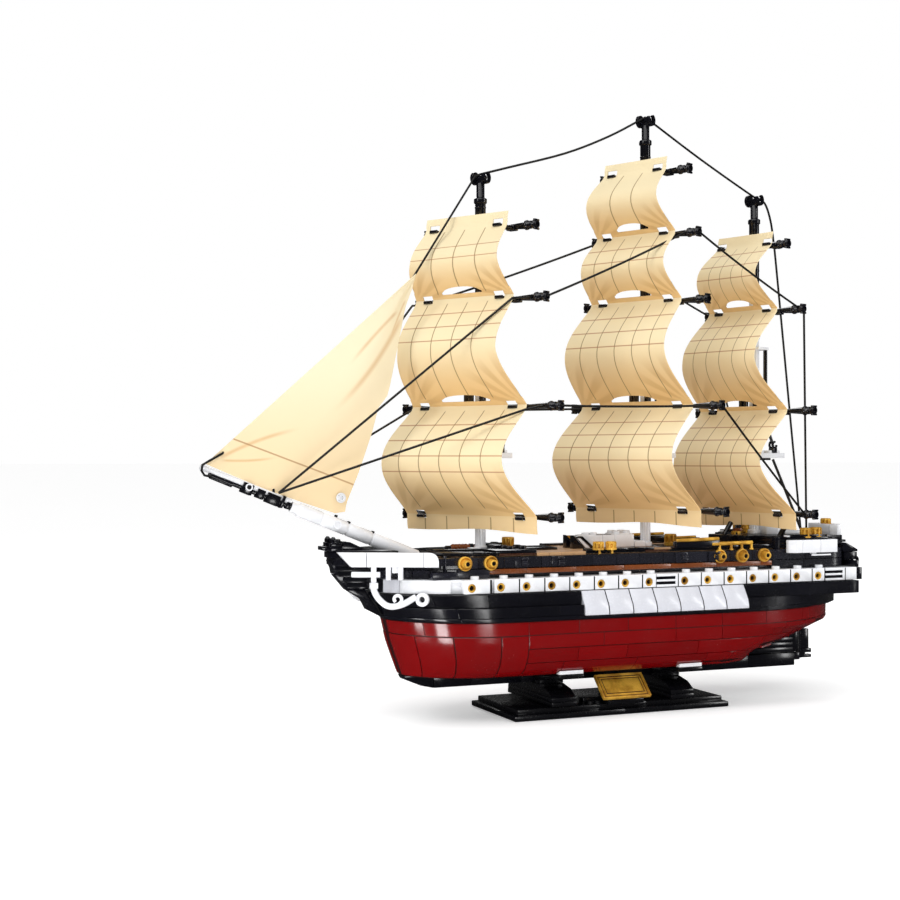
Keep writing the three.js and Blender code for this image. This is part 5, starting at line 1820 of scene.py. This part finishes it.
# %% Base and pedestals
stand = blocks((-72, 0, -31.9, 31.9, 0, 3.1), (0.1, 72, -31.9, 31.9, 0, 3.1),
               *[(x0 + 0.06, x1 - 0.06, -29, 29, 3.2, 6.3) for x0, x1 in ((-69, -16), (-16, 16), (16, 69))],
               bevel=0.35)
stand.append(slab([(20, 6.4), (33.3, 6.4), (33.3, 9), (21, 20.9), (20, 20.9)], "X", -11.9, 11.9))
stand += [upright([(2.4, 0), (2.4, 1.6), (2.2, 1.8)], x, 24, 6.3, 20, 0) for x in (14.5, 19.5)]
stand += blocks((11, 23, 16, 22, 6.4, 9.4, 0.3))
finish(stand, "stand_base_plates", STAND_BLACK, "stand_base")

NECK = [(30.6, 12.1), (24, 16), (14, 18)]
ARM = [(7.2, 18.1), (13.9, 18.1), (14, 20.3), (26, 22.7), (40.4, 24.3), (40.4, 26.5), (34.8, 26.5),
       (22, 24.3), (7.2, 24.3)]
PAD = [(35.4, 27), (40.1, 27), (40.1, 29.2)]
for kind, x in (("fore", 40), ("aft", -40)):
    limits = (x - 7.9, x + 7.9)
    made = blocks((*limits, -31, 31, 6.8, 9.4), (*limits, -30.6, 30.6, 9.5, 12), bevel=0.3)
    made.append(slab(NECK + [(-y, z) for y, z in NECK[::-1]], "X", *limits, 0.25))
    made += [slab([(side * y, z) for y, z in ARM], "X", *limits, 0.25) for side in SIDES]
    finish(made, "pedestal_bricks_" + kind, STAND_BLACK, "pedestal_" + kind)
    for hand, side in HANDS:
        pad = slab([(side * y, z) for y, z in PAD], "X", x - 7.7, x + 7.7, 0.15)
        finish([pad], f"pad_{kind}_{hand}", WHITE, f"cradle_pad_{kind}_{hand}")

# %% Name plate
PLATE = (16, 8.7)               # half length and half height
LEAN = Matrix(((1, 0, 0, 0), (0, 0.717, 0.695, 27.55 * MM), (0, -0.695, 0.717, 15.35 * MM), (0, 0, 0, 1)))
plate = block((-PLATE[0], PLATE[0]), (-PLATE[1], PLATE[1]), (0.05, 2.35), 0)
soften(plate, 0.3)
for inset, push in ((1.4, -0.9), (0.9, 0.8), (0.8, -0.5)):
    # the face on top of the plate
    pick(plate, lambda middle, normal: normal.z > 0.9 and abs(middle.x) < 1 and abs(middle.y) < 1)
    edit_picked(plate, lambda: bpy.ops.mesh.inset(thickness=inset * MM, depth=0),
                lambda: bpy.ops.transform.translate(value=(0, 0, push * MM)))
finish([moved(plate, LEAN)], "gold_name_plate", GOLD, "name_plate", angle=25)
# dark lines along the frame's two grooves: painted shade
lines = []
for inset, z in ((1.4, 1.5), (3.1, 1.8)):
    x, y = PLATE[0] - inset, PLATE[1] - inset
    for sign in (-1, 1):
        lines += blocks((-x, x, sign * y, sign * (y - 0.55), z - 0.2, z + 0.12),
                        (sign * x, sign * (x - 0.55), -y, y, z - 0.2, z + 0.1), bevel=0)
finish(all_moved(lines, LEAN), "name_plate_groove_shade", SHADE_BROWN)
